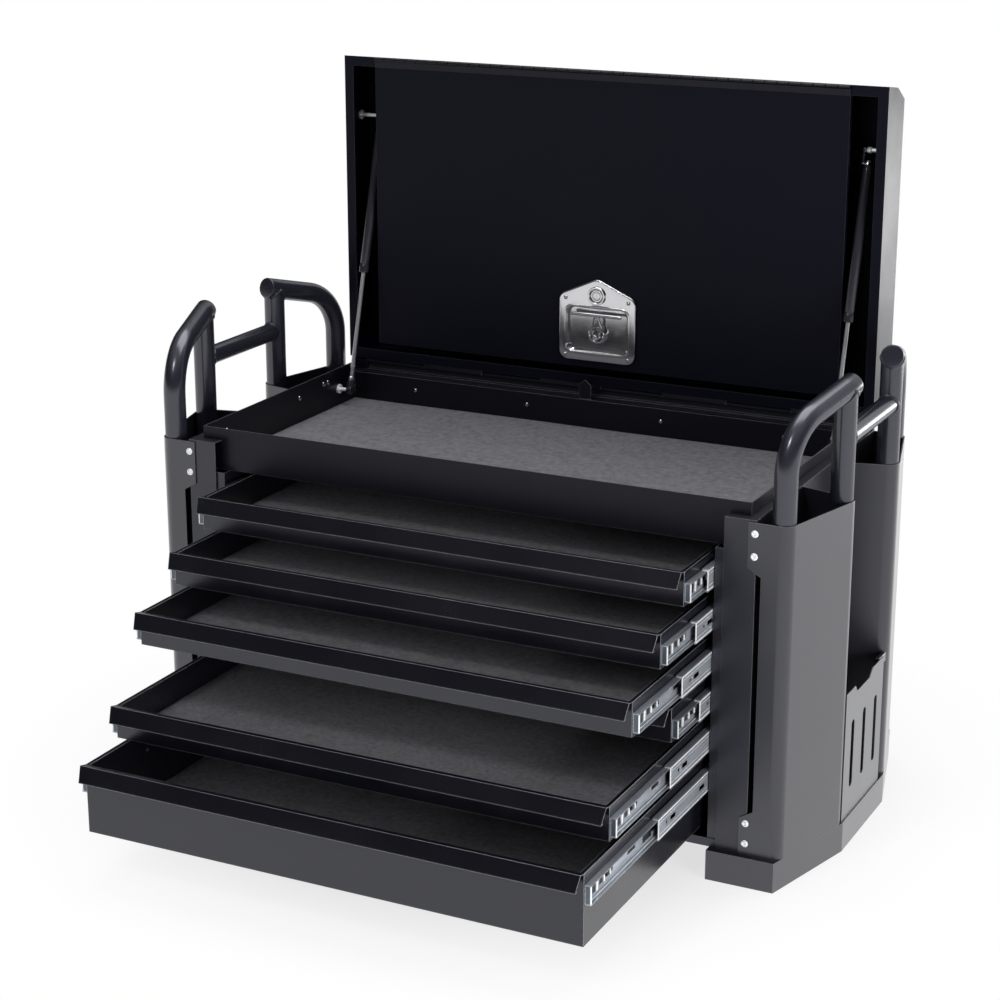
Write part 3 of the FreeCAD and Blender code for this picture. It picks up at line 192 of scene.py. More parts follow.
# Finishes
def powder_coat(name, tone, roughness, level, edge, ease=0.0008, peel=0.00004, sheen=0.0):
    """Black powder coat: fine orange peel, cloudy gloss, faint dust, and a painted highlight along
    its folds.

    A fold shows where the eased normal leaves the flat one. Edge is how light the painted highlight
    is there.
    """
    coat = Finish(name)
    cloud = coat.noise(7.0, 4.0)
    grain = coat.noise(1400.0, 2.0)
    dust = coat.remapped(coat.noise(260.0, 6.0, rough=0.7), 0.60, 0.78)
    light = tuple(min(1.0, 1.5 * part + 0.001) for part in tone)
    colour = coat.blend(cloud * 0.35 + dust * 0.25, tone, light)
    eased = coat.rounded(ease)
    flat = coat.node("ShaderNodeNewGeometry", {}, {}, "Normal")
    dot = {"operation": "DOT_PRODUCT"}
    agree = coat.node("ShaderNodeVectorMath", dot, {0: eased, 1: flat}, "Value")
    # Painted highlight: folds and corners are lightened towards edge where the eased normal leaves
    # the flat one
    scuffs_and_fold_highlight = coat.remapped(agree, 0.80, 0.985, 1.0, 0.0)
    colour = coat.blend(scuffs_and_fold_highlight, colour, (edge, edge, edge * 1.08))
    gloss = coat.remapped(cloud + grain * 0.35, 0.35, 0.95, roughness - 0.05, roughness + 0.07)
    normal = coat.bumped(grain, peel, eased)
    return coat.done(
        Base_Color=colour, Roughness=gloss, Specular_IOR_Level=level,
        Specular_Tint=(0.90, 0.91, 1.0, 1), Coat_Weight=sheen, Coat_Roughness=0.3, Normal=normal,
    )


PLATE_EASE = 0.0006


def zinc_plate(name, tone, roughness, clouded=0.35, metal=0.6):
    """Dull bright zinc: drawn along the slide, with slow clouds along its length."""
    plate = Finish(name)
    drawn = plate.noise(700.0, 3.0, along=(1.0, 0.01, 1.0))
    cloud = plate.noise(26.0, 4.0, along=(1.0, 1.0, 2.0))
    dark = tuple(0.5 * part for part in tone)
    colour = plate.blend(plate.remapped(cloud, 0.42, 0.66) * clouded + drawn * 0.2, tone, dark)
    gloss = plate.remapped(drawn + cloud * 0.4, 0.3, 1.2, roughness - 0.04, roughness + 0.08)
    normal = plate.bumped(drawn, 0.000008, plate.rounded(PLATE_EASE))
    return plate.done(Base_Color=colour, Roughness=gloss, Metallic=metal, Normal=normal)


def polished(name, tone, roughness, metal=1.0):
    """Polished plate with hairlines across it and a few clouds of wear."""
    plate = Finish(name)
    hair = plate.noise(1100.0, 2.0, along=(0.03, 1.0, 1.0))
    cloud = plate.noise(45.0, 4.0)
    colour = plate.blend(cloud * 0.4, tone, tuple(0.86 * part for part in tone))
    gloss = plate.remapped(cloud + hair * 0.3, 0.3, 1.0, roughness, roughness + 0.07)
    normal = plate.bumped(hair, 0.000006, plate.rounded(PLATE_EASE))
    return plate.done(Base_Color=colour, Roughness=gloss, Metallic=metal, Normal=normal)


def foam_sheet(name, tone, mottle):
    """Closed-cell foam: small cells, a felted mottle and lighter scuffs."""
    foam = Finish(name)
    cells = foam.noise(950.0, 4.0, rough=0.7)
    patches = foam.noise(mottle, 6.0, rough=0.68)
    scuffs = foam.remapped(foam.noise(mottle * 0.35, 5.0), 0.42, 0.7)
    light = tuple(min(1.0, 1.55 * part) for part in tone)
    dark = tuple(0.62 * part for part in tone)
    colour = foam.blend(foam.remapped(patches + cells * 0.4, 0.45, 0.95), dark, light)
    scuffs_and_fold_highlight = foam.blend(scuffs * 0.35, colour, light)
    normal = foam.bumped(cells + patches * 0.5, 0.00022)
    return foam.done(Base_Color=scuffs_and_fold_highlight, Roughness=0.88, Specular_IOR_Level=0.25, Normal=normal)


def smooth_enamel(name, tone, roughness):
    """Sprayed enamel on the strut tubes."""
    coat = Finish(name)
    run = coat.noise(120.0, 3.0, along=(1.0, 1.0, 0.2))
    colour = coat.blend(run * 0.4, tone, tuple(min(1.0, 1.6 * part) for part in tone))
    gloss = coat.remapped(run, 0.3, 0.7, roughness, roughness + 0.06)
    return coat.done(Base_Color=colour, Roughness=gloss, Normal=coat.bumped(run, 0.00001))


# Tones are linear RGB. After a black come its roughness, its specular level, how light the painted
# highlight on its folds is, and how wide they are eased
CASE_BLACK = (0.0060, 0.0061, 0.0095)
DRAWER_BLACK = (0.0034, 0.0035, 0.0058)
LID_BLACK = (0.0020, 0.0020, 0.0052)
GUARD_BLACK = (0.0085, 0.0086, 0.0125)
PIPE_BLACK = (0.011, 0.0112, 0.0165)
TRAY_BLACK = (0.0032, 0.0033, 0.0055)
FINISHES = {
    "case_paint": powder_coat("case powder coat", CASE_BLACK, 0.34, 0.8, 0.16, 0.001),
    "drawer_paint": powder_coat("drawer powder coat", DRAWER_BLACK, 0.22, 0.8, 0.30, 0.0014),
    "lid_paint": powder_coat("lid powder coat", LID_BLACK, 0.40, 0.12, 0.05),
    "guard_paint": powder_coat(
        "guard powder coat", GUARD_BLACK, 0.33, 0.6, 0.14, 0.0013, sheen=1.0
    ),
    "pipe_paint": powder_coat("pipe powder coat", PIPE_BLACK, 0.22, 1.0, 0.03, peel=0.00003),
    "zinc": zinc_plate("bright zinc slides", (0.46, 0.49, 0.54), 0.24),
    "chrome": polished("polished lock plate", (0.66, 0.66, 0.675), 0.10),
    "strut_rod": polished("ground strut rod", (0.84, 0.84, 0.86), 0.26, metal=0.9),
    "strut_tube": smooth_enamel("strut tube enamel", (0.014, 0.014, 0.018), 0.18),
    "liner": foam_sheet("drawer liner foam", (0.16, 0.158, 0.172), 130.0),
    "mat": foam_sheet("tray mat foam", (0.118, 0.115, 0.126), 95.0),
}
TRAY_PAINT = powder_coat("tray powder coat", TRAY_BLACK, 0.34, 0.28, 0.16, 0.001)
HINGE_STEEL = polished("blackened hinge steel", (0.03, 0.03, 0.036), 0.32)
# Painted shade: the slides' folded front ends in a darker, bluer copy of the zinc
SHADED_TAB_ZINC = zinc_plate("slide end zinc in painted shade", (0.11, 0.135, 0.17), 0.3, 0.2)
# Painted shade: a dark copy of the zinc laid over the stampings in the webs and the middle members'
# holes
STAMPING_SHADE = zinc_plate("slide stampings in shade", (0.014, 0.018, 0.026), 0.34, 0.2)
# Painted highlight: a near-white copy of the zinc for the slides' edges and lips, the guard screws
# and the ball studs
HIGHLIGHT_ZINC = zinc_plate("burnished slide edges", (0.97, 0.98, 0.99), 0.34, 0.0, 0.4)

# Nodes whose finish is not that of their slot
# The ball studs are in the zinc painted as a highlight
OWN_FINISH = {"top_tray": TRAY_PAINT, "tray_ball_studs": HIGHLIGHT_ZINC, "lid_ball_studs": HIGHLIGHT_ZINC}
for part in frame["record"]["subparts"]:
    node = frame["nodes"][part["node"]]
    node.data.materials.clear()
    node.data.materials.append(OWN_FINISH.get(part["node"], FINISHES[part["material_slot"]]))


# Surfaces
def angles(count):
    """That many angles evenly round the circle, from 0."""
    return np.linspace(0, 2 * math.pi, count, endpoint=False)


def faces_of_grid(rows, columns, wrap_rows, wrap_columns):
    """The quads of a grid: cell (i, j) joins points (i, j), (i+1, j), (i+1, j+1), (i, j+1)."""
    i = np.arange(rows if wrap_rows else rows - 1)[:, None]
    j = np.arange(columns if wrap_columns else columns - 1)[None, :]
    below, beside = (i + 1) % rows, (j + 1) % columns
    corners = [(i, j), (below, j), (below, beside), (i, beside)]
    places = [np.broadcast_to(a * columns + b, (i.size, j.size)) for a, b in corners]
    return np.stack(places, -1).reshape(-1, 4)


def shell(grid, wrap_rows=False):
    """A grid of points whose rows are rings, as one shell.

    Its rows join up in a ring too, or else its first and last rows are closed by a face each.
    """
    rows, columns = grid.shape[:2]
    faces = faces_of_grid(rows, columns, wrap_rows, True).tolist()
    if not wrap_rows:
        faces += [list(range(columns)), list(range((rows - 1) * columns, rows * columns))]
    return grid.reshape(-1, 3), faces


def turned(profile, origin, axis, segments):
    """A profile (distance along, radius) turned about an axis.

    Point = origin + along * axis + radius * (cos t * across + sin t * up), t from 0 to 2 pi.
    """
    profile = np.asarray(profile, float)
    axis = np.asarray(axis, float) / np.linalg.norm(axis)
    across = np.cross(axis, Z if abs(axis[2]) < 0.9 else X)
    across /= np.linalg.norm(across)
    up = np.cross(axis, across)
    t = angles(segments)
    round_it = np.cos(t)[:, None] * across + np.sin(t)[:, None] * up
    grid = (
        np.asarray(origin, float)
        + profile[:, 0, None, None] * axis
        + np.maximum(profile[:, 1], 1e-6)[:, None, None] * round_it
    )
    return shell(grid)


def carried(section, path, side, closed=False, scale=None):
    """A section carried along a path.

    Point = path + scale * (a * (side x tangent) + b * side), for each (a, b) of the section, with
    the side squared to the path.
    """
    path = np.asarray(path, float)
    if closed:
        tangent = np.roll(path, -1, 0) - np.roll(path, 1, 0)
    else:
        tangent = np.gradient(path, axis=0)
    tangent /= np.linalg.norm(tangent, axis=1)[:, None]
    side = np.broadcast_to(np.asarray(side, float), path.shape)
    across = np.cross(side, tangent)
    across /= np.linalg.norm(across, axis=1)[:, None]
    other = np.cross(tangent, across)
    section = np.asarray(section, float)
    size = np.ones(len(path)) if scale is None else np.asarray(scale)
    grid = path[:, None] + size[:, None, None] * (
        section[None, :, 0, None] * across[:, None] + section[None, :, 1, None] * other[:, None]
    )
    return shell(grid, wrap_rows=closed)


def circle(radius, count):
    """Points (radius cos t, radius sin t) of a round section."""
    t = angles(count)
    return np.stack([radius * np.cos(t), radius * np.sin(t)], 1)


def rounded_outline(corners, radii, steps):
    """A polygon with each corner replaced by an arc that touches its two sides.

    The arc's centre lies radius / sin(half the corner's angle) along the bisector.
    """
    corners = np.asarray(corners, float)
    made = []
    for k, corner in enumerate(corners):
        before = corners[k - 1] - corner
        after = corners[(k + 1) % len(corners)] - corner
        before /= np.linalg.norm(before)
        after /= np.linalg.norm(after)
        half = math.acos(np.clip(before @ after, -1, 1)) / 2
        radius = radii[k] if np.ndim(radii) else radii
        middle = before + after
        centre = corner + middle / np.linalg.norm(middle) * radius / math.sin(half)
        start = corner + before * radius / math.tan(half) - centre
        stop = corner + after * radius / math.tan(half) - centre
        first = math.atan2(start[1], start[0])
        turn = (math.atan2(stop[1], stop[0]) - first + math.pi) % (2 * math.pi) - math.pi
        t = first + turn * np.linspace(0, 1, steps)
        made.append(centre + radius * np.stack([np.cos(t), np.sin(t)], 1))
    return np.concatenate(made)


def rectangle(half, low, high):
    """The corners of an upright rectangle that is even about its middle line."""
    return np.array([(-half, low), (half, low), (half, high), (-half, high)])


def evenly(outline, count):
    """A closed outline again, with that many points spaced evenly by angle from its middle."""
    outline = np.asarray(outline, float)
    middle = (outline.max(0) + outline.min(0)) / 2
    closed = np.vstack([outline, outline[:1]]) - middle
    angle = np.unwrap(np.arctan2(closed[:, 1], closed[:, 0]))
    if angle[-1] < angle[0]:
        closed, angle = closed[::-1], angle[::-1]
    wanted = angle[0] + (angles(count) - angle[0]) % (2 * math.pi)
    return middle + np.stack([np.interp(wanted, angle, closed[:, k]) for k in (0, 1)], 1)


def plate_between(outline, y_low, y_high, ease):
    """An outline in XZ thickened along Y, with its front edge (low Y) eased by a quarter round.

    Ring t = the outline shrunk by ease (1 - cos t) / size, at y = low + ease (1 - sin t).
    """
    middle = outline.mean(0)
    size = np.linalg.norm(outline - middle, axis=1).mean()
    t = np.linspace(0, math.pi / 2, 5)
    shrink = 1 - ease * (1 - np.cos(t)) / size
    depth = y_low + ease * (1 - np.sin(t))
    rings = [(1.0, y_high)] + list(zip(shrink, depth))
    grid = np.array([
        np.stack([middle[0] + s * (outline[:, 0] - middle[0]), np.full(len(outline), y),
                  middle[1] + s * (outline[:, 1] - middle[1])], 1)
        for s, y in rings
    ])
    return shell(grid)


def block(low, high, ease):
    """A bar with eased long edges: a rounded rectangle in XZ carried along Y."""
    low, high = np.asarray(low, float), np.asarray(high, float)
    outline = rounded_outline(
        [(low[0], low[2]), (high[0], low[2]), (high[0], high[2]), (low[0], high[2])], ease, 4
    )
    grid = np.array([np.insert(outline, 1, y, axis=1) for y in (low[1], high[1])])
    return shell(grid)


def screw_head(centre, normal, radius, rise, cross=0.0):
    """A domed head, with a crossed recess unless cross is 0.

    Height = rise * sqrt(1 - r^2) + a hair, r being the distance from the middle over the radius.
    In the recess, where |u| or |v| is under cross and r is under 0.55, it is 0.15 of that. Cross
    is the slot's half width over the radius. The last row is sunk below the face it stands on.
    """
    normal = np.asarray(normal, float) / np.linalg.norm(normal)
    across = np.cross(normal, Z if abs(normal[2]) < 0.9 else X)
    across /= np.linalg.norm(across)
    up = np.cross(normal, across)
    r = np.array([0.001, 0.12, 0.14, 0.30, 0.52, 0.58, 0.75, 0.9, 0.98, 1.0, 1.0])[:, None]
    t = angles(40)[None, :]
    height = rise * np.sqrt(np.clip(1 - r**2, 0, 1)) + 0.0002
    height = np.broadcast_to(height, (r.size, t.size)).copy()
    if cross:
        turn = 0.3
        u, v = r * np.cos(t + turn), r * np.sin(t + turn)
        recess = ((abs(u) < cross) | (abs(v) < cross)) & (r < 0.55)
        height[recess] *= 0.15
    height[-1] = -0.0006
    flat = r[..., None] * radius * (np.cos(t)[..., None] * across + np.sin(t)[..., None] * up)
    return shell(np.asarray(centre, float) + flat + height[..., None] * normal)


def mirror(parts, axis):
    """The same shells on the other side of the middle plane across an axis."""
    flip = np.ones(3)
    flip[axis] = -1
    return [(points * flip, faces) for points, faces in parts]


def both_ways(parts, axis=0):
    """The shells and their mirror images."""
    return list(parts) + mirror(parts, axis)


def piece(name, parts, body, paint, sharp=35.0):
    """Put shells into one mesh: doubles merged, normals outward, smooth but for its sharp edges."""
    points = np.concatenate([p for p, _ in parts])
    faces, start = [], 0
    for p, f in parts:
        faces += [[start + k for k in face] for face in f]
        start += len(p)
    mesh = bpy.data.meshes.new(name)
    mesh.from_pydata(points.tolist(), [], faces)
    work = bmesh.new()
    work.from_mesh(mesh)
    bmesh.ops.remove_doubles(work, verts=work.verts, dist=4e-6)
    bmesh.ops.recalc_face_normals(work, faces=work.faces)
    work.to_mesh(mesh)
    work.free()
    mesh.shade_smooth()
    mesh.set_sharp_from_angle(angle=math.radians(sharp))
    mesh.materials.append(paint)
    made = bpy.data.objects.new(name, mesh)
    bpy.context.scene.collection.objects.link(made)
    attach(made, body)
    return made


# Pipe frame: smooth pipes with rounded end caps, and rippled weld beads
HEADING = np.array([math.sin(LEAN), math.cos(LEAN), 0])
ACROSS = np.array([math.cos(LEAN), -math.sin(LEAN), 0])
SECOND_LEG = np.append(LEG, 0) + LEG_PITCH * HEADING
BEND_OUT = BEND_RADIUS * (1 - math.cos(BEND_ANGLE))
BEND_HIGH = BEND_START + BEND_RADIUS * math.sin(BEND_ANGLE)
RUN = (LEG_PITCH - BEND_OUT) / math.sin(BEND_ANGLE) + OVERHANG
RUN_WAY = math.sin(BEND_ANGLE) * HEADING + math.cos(BEND_ANGLE) * Z
RUN_MEETS = BEND_HIGH + (LEG_PITCH - BEND_OUT) / math.tan(BEND_ANGLE)


def hoop_path():
    """Up the leg, round the bend (out = R (1 - cos t), up = R sin t), and back along the run."""
    t = np.linspace(0, BEND_ANGLE, 26)
    out = BEND_RADIUS * (1 - np.cos(t))
    up = BEND_START + BEND_RADIUS * np.sin(t)
    base = np.append(LEG, 0)
    leg = base + np.array([PLINTH_TOP, 300 * MM, 560 * MM])[:, None] * Z
    bend = base + out[:, None] * HEADING + up[:, None] * Z
    along = np.linspace(0, 1, 6)[1:] * (RUN - 1.6 * MM)
    run = bend[-1] + along[:, None] * RUN_WAY
    tip = run[-1] + np.array([0.9, 1.4, 1.6])[:, None] * MM * RUN_WAY
    path = np.vstack([leg, bend, run, tip])
    scale = np.ones(len(path))
    scale[-3:] = (0.985, 0.955, 0.90)
    return path, scale


def hoop():
    """The pipe of one hoop: a circle carried along its path, drawn in at the free end."""
    path, scale = hoop_path()
    return [carried(circle(PIPE_RADIUS, 40), path, ACROSS, scale=scale)]


def bead(path, side, radius):
    """A weld bead round a seam: its radius swells as 1 + 0.14 |sin|, 24 ripples to the round."""
    t = np.linspace(0, 1, len(path), endpoint=False)
    swell = 1 + 0.14 * np.abs(np.sin(math.pi * 24 * t))
    return carried(circle(radius, 8), path, side, closed=True, scale=swell)


def leg_spokes(count):
    """From the second leg's middle line to its face: radius (cos t heading + sin t across)."""
    t = angles(count)[:, None]
    return PIPE_RADIUS * (np.cos(t) * HEADING + np.sin(t) * ACROSS)


def seam_height(spoke):
    """Where the leg meets the run, two pipes of one radius meet in two planes.

    Height over the crossing of their middle lines, at a spoke of the leg: the lower of
    q / (1 - a) and -q / (1 + a), with q = spoke . run and a = the run's rise.
    """
    level = spoke @ RUN_WAY
    return np.minimum(level / (1 - RUN_WAY[2]), -level / (1 + RUN_WAY[2]))


def saddle_bead():
    """The weld along that seam."""
    spoke = leg_spokes(96)
    path = SECOND_LEG + 1.01 * spoke + (RUN_MEETS + seam_height(spoke))[:, None] * Z
    return bead(path, spoke / PIPE_RADIUS, 2.1 * MM)


def cross_bead():
    """Where the cross tube meets the leg: y^2 + x^2 = leg radius^2 round the tube's circle."""
    t = angles(80)
    x = CROSS_TUBE_RADIUS * np.cos(t)
    reach = np.sqrt(np.maximum(PIPE_RADIUS**2 - x**2, 0))
    path = np.stack([
        SECOND_LEG[0] + 1.01 * x, SECOND_LEG[1] + reach + 0.4 * MM,
        CROSS_TUBE_HEIGHT + 1.01 * CROSS_TUBE_RADIUS * np.sin(t),
    ], 1)
    spoke = np.stack([np.cos(t), 0 * t, np.sin(t)], 1)
    return bead(path, spoke, 2.0 * MM)


def upright():
    """The second leg: rings of spokes at three heights, the top one along its seam with the run."""
    spoke = leg_spokes(40)
    top = RUN_MEETS + seam_height(spoke) + 0.6 * MM
    heights = [np.full(len(top), PLINTH_TOP), np.full(len(top), 300 * MM), top]
    return shell(np.array([SECOND_LEG + spoke + h[:, None] * Z for h in heights]))


def cross_tube():
    """A straight tube from one second leg to the other, its ends sunk in them."""
    start = SECOND_LEG[1] + 4 * MM
    path = np.stack([
        np.full(9, SECOND_LEG[0]), np.linspace(start, -start, 9), np.full(9, CROSS_TUBE_HEIGHT),
    ], 1)
    return carried(circle(CROSS_TUBE_RADIUS, 40), path, X)


pipe_paint = FINISHES["pipe_paint"]
front_right = hoop()
side_frame = both_ways([upright()], 1) + [cross_tube()]
for name, shells in {
    "hoop_front_right": front_right,
    "hoop_front_left": mirror(front_right, 0),
    "hoop_rear_right": mirror(front_right, 1),
    "hoop_rear_left": mirror(mirror(front_right, 1), 0),
    "upright_frame_right": side_frame,
    "upright_frame_left": mirror(side_frame, 0),
}.items():
    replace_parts(piece("pipe_" + name, shells, "chest", pipe_paint), name)
beads = both_ways(both_ways([saddle_bead(), cross_bead()], 1))
piece("weld_beads", beads, "chest", pipe_paint, 60.0)


# Tray mat and drawer liners: thin foam with soft edges and a little unevenness
def foam_pad(low, high, thickness, unevenness, seed):
    """A sheet with rolled edges.

    Top = low + thickness * roll + unevenness * (sum of slow waves + 2.5), where roll goes from
    0.35 at the edge to 1 at 2.5 mm from it, as a quarter round.
    """
    nx, ny = 90, 46
    u = np.linspace(0, 1, nx)
    v = np.linspace(0, 1, ny)
    draw = np.random.default_rng(seed)
    waves = np.zeros((nx, ny))
    for _ in range(6):
        a, b = draw.uniform(1, 5, 2)
        p, q = draw.uniform(0, 2 * math.pi, 2)
        waves += np.sin(a * math.pi * u + p)[:, None] * np.sin(b * math.pi * v + q)[None, :]
    edge_x = np.minimum(u, 1 - u)[:, None] * (high[0] - low[0])
    edge_y = np.minimum(v, 1 - v)[None, :] * (high[1] - low[1])
    edge = np.clip(np.minimum(edge_x, edge_y) / (2.5 * MM), 0, 1)
    roll = 0.35 + 0.65 * np.sqrt(1 - (1 - edge) ** 2)
    top = low[2] + thickness * roll + unevenness * (waves + 2.5)
    x = low[0] + (high[0] - low[0]) * np.broadcast_to(u[:, None], (nx, ny))
    y = low[1] + (high[1] - low[1]) * np.broadcast_to(v[None, :], (nx, ny))
    upper = np.stack([x, y, top], -1)
    lower = np.stack([x, y, np.full((nx, ny), low[2])], -1)
    faces = faces_of_grid(nx, ny, False, False)
    ring = np.concatenate([
        np.arange(ny), np.arange(1, nx) * ny + ny - 1, (nx - 1) * ny + np.arange(ny - 2, -1, -1),
        np.arange(nx - 2, 0, -1) * ny,
    ])
    count = nx * ny
    skirt = np.stack([ring, np.roll(ring, -1), np.roll(ring, -1) + count, ring + count], 1)
    return (
        np.concatenate([upper.reshape(-1, 3), lower.reshape(-1, 3)]),
        faces.tolist() + (faces[:, ::-1] + count).tolist() + skirt.tolist(),
    )


low, high = (np.array(corner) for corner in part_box("tray_mat"))
pad = foam_pad(low, high, 2.6 * MM, 0.12 * MM, 11)
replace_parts(piece("foam_tray_mat", [pad], "chest", FINISHES["mat"], 60), "tray_mat")
for number in DRAWERS:
    low, high = (np.array(corner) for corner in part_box(f"drawer_liner_{number}"))
    pad = foam_pad(low, high, 1.7 * MM, 0.05 * MM, 20 + number)
    body = f"drawer_body_{number}"
    made = piece(f"foam_liner_{number}", [pad], body, FINISHES["liner"], 60)
    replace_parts(made, f"drawer_liner_{number}")


# Lock: a pressed plate with a dished pocket, a collared key cylinder, a hub and a folding T handle
def lock_plate():
    """Rings from the rear edge, over the rolled rim, across the face and down into the pocket."""
    half, low, shoulder, apex = 67.5 * MM, 613 * MM, 721 * MM, 751 * MM
    outer = rounded_outline(
        [(-half, low), (half, low), (half, shoulder), (0, apex), (-half, shoulder)],
        np.array([16, 16, 13, 17, 13]) * MM, 9,
    )
    pocket = rounded_outline(rectangle(POCKET_HALF, POCKET_LOW, POCKET_HIGH), 11 * MM, 9)
    count = 144
    outer, pocket = evenly(outer, count), evenly(pocket, count)
    out_middle = (outer.max(0) + outer.min(0)) / 2
    middle = (pocket.max(0) + pocket.min(0)) / 2
    face = LOCK_FACE
    rear = face + 7.8 * MM

    def ring(outline, centre, inset, y):
        """Each point of an outline moved towards a centre by the inset, at one depth."""
        away = outline - centre
        length = np.linalg.norm(away, axis=1)[:, None]
        moved = centre + away * (1 - inset / length)
        return np.stack([moved[:, 0], np.full(count, y), moved[:, 1]], 1)

    def pocket_ring(inset, y):
        return ring(pocket, middle, inset, y)

    rings = [ring(outer, out_middle, 0, rear)]
    rim = 2.6 * MM
    for t in np.linspace(0, math.pi / 2, 6):
        inset = rim * (1 - math.cos(t))
        rings.append(ring(outer, out_middle, inset, face + rim * (1 - math.sin(t))))
    rings.append(pocket_ring(-4.5 * MM, face))
    for t in np.linspace(0, math.pi, 9):
        inset = -2.0 * MM * math.cos(t) - 1.6 * MM
        rings.append(pocket_ring(inset, face - 1.1 * MM * math.sin(t)))
    for t in np.linspace(0, math.pi / 2, 6)[1:]:
        inset = 0.4 * MM + 2 * MM * math.sin(t)
        rings.append(pocket_ring(inset, face + 3 * MM * (1 - math.cos(t))))
    bottom = face + LOCK_POCKET_DEPTH
    dish = 7 * MM
    for t in np.linspace(0, math.pi / 2, 7):
        inset = 4 * MM + dish * (1 - math.cos(t))
        rings.append(pocket_ring(inset, bottom - dish * (1 - math.sin(t))))
    rings.append(pocket_ring(24 * MM, bottom))
    return shell(np.array(rings))


def lock_back():
    """The pressed pocket from behind, in four rings: inner floor, two lips, outer floor."""
    rings = []
    for outside, y in ((0.8, 16.6), (0.8, 8.0), (1.6, 8.0), (1.6, 17.6)):
        out = outside * MM
        corners = rectangle(POCKET_HALF + out, POCKET_LOW - out, POCKET_HIGH + out)
        outline = rounded_outline(corners, 10.4 * MM + out, 7)
        rings.append(np.insert(outline, 1, LOCK_FACE + y * MM, axis=1))
    return shell(np.array(rings))


chrome = FINISHES["chrome"]
made = piece("lock_plate", [lock_plate(), lock_back()], "flap", chrome, 50)
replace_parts(made, "lock_housing")

collar_rows = [(2, 0), (2, 15.2), (0, 15.2), (-2.6, 15.2), (-3.6, 14.4), (-3.6, 12.4),
               (-2.6, 11.4), (-1.2, 11.2), (0, 11.0), (-0.8, 0)]
collar_place = (0, LOCK_FACE - 0.4 * MM, KEY_HEIGHT)
collar = turned(np.array(collar_rows) * MM, collar_place, Y, 48)
piece("lock_collar", [collar], "flap", chrome, 30)


def key_barrel():
    """A turned barrel with a stepped, slightly dished face and a raised plug round its slot."""
    rows = [(18, 0), (18, 10.4), (-1.0, 10.4), (-1.9, 9.6), (-1.9, 7.6), (-0.9, 7.0), (-0.9, 6.2),
            (-1.6, 5.8), (-1.6, 0)]
    return turned(np.array(rows) * MM, (0, LOCK_FACE, KEY_HEIGHT), Y, 40)


slot_bar = block((-0.9 * MM, LOCK_FACE - 2.2 * MM, KEY_HEIGHT - 4.2 * MM),
                 (0.9 * MM, LOCK_FACE - 1.5 * MM, KEY_HEIGHT + 4.2 * MM), 0.3 * MM)
made = piece("key_barrel", [key_barrel(), slot_bar], "key", chrome, 30)
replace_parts(made, "key_cylinder")


def hub_body():
    """A turned hub with a rolled edge and a dished face."""
    floor = LOCK_FACE + LOCK_POCKET_DEPTH
    front = -LOCK_POCKET_DEPTH / MM
    rows = [(0, 0), (0, 17.2), (-2, 17.4), (front + 5, 15.6), (front + 1, 15.2),
            (front - 0.6, 14.2), (front - 1.2, 12.6), (front - 0.4, 10.8),
            (front + 4.5, 9.6), (front + 6.5, 7.5), (front + 7, 0)]
    return turned(np.array(rows) * MM, (0, floor - 0.3 * MM, HUB_HEIGHT), Y, 56)


cam_rows = np.array([(0, 0), (0, 4.9), (7, 4.9), (7, 0)]) * MM
cam_shaft = turned(cam_rows, (0, LOCK_FACE + 15 * MM, HUB_HEIGHT), Y, 24)
cam_outline = rounded_outline(
    rectangle(8 * MM, HUB_HEIGHT - 34 * MM, HUB_HEIGHT + 8 * MM), 5 * MM, 6
)
cam = plate_between(cam_outline, LOCK_FACE + 17.9 * MM, LOCK_FACE + 20.9 * MM, 0.6 * MM)
made = piece("hub_and_cam", [hub_body(), cam_shaft, cam], "hub", chrome, 30)
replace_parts(made, "lock_hub")


def t_handle():
    """A round bar with eased ends, and a teardrop loop below it that hooks into the hub.

    Loop: width = w sin t (1 - 0.42 cos t), height = middle + drop cos t, sunk by (1 - cos t) / 2.
    """
    y = LOCK_FACE - 5 * MM
    bar_rows = [(-45, 0), (-45, 1.9), (-44.3, 2.8), (-43, 3),
                (43, 3), (44.3, 2.8), (45, 1.9), (45, 0)]
    bar = turned(np.array(bar_rows) * MM, (0, y, BAR_HEIGHT), X, 24)
    t = angles(64)
    width = 7.2 * MM * np.sin(t) * (1 - 0.42 * np.cos(t))
    drop = (BAR_HEIGHT - HUB_HEIGHT + 4 * MM) / 2
    height = (BAR_HEIGHT + HUB_HEIGHT - 4 * MM) / 2 + drop * np.cos(t)
    sunk = y + 1.5 * MM + 3.5 * MM * (1 - np.cos(t)) / 2
    loop = np.stack([width, sunk, height], 1)
    return [bar, carried(circle(2.1 * MM, 12), loop, Y, closed=True)]


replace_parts(piece("t_handle", t_handle(), "handle", chrome, 40), "lock_handle")

rivets = []
for x, z in ((-55.5, 716), (55.5, 716), (-55.5, 621), (55.5, 621)):
    rivets.append(screw_head((x * MM, LOCK_FACE - 0.1 * MM, z * MM), -Y, 3.4 * MM, 2.3 * MM))
piece("lock_rivets", rivets, "flap", chrome, 30)

# Gas struts: turned rods and tubes with their end fittings
STRUT_WAY = np.append(0, (STRUT_HIGH - STRUT_LOW) / np.linalg.norm(STRUT_HIGH - STRUT_LOW))
STRUT_SPAN = np.linalg.norm(STRUT_HIGH - STRUT_LOW)


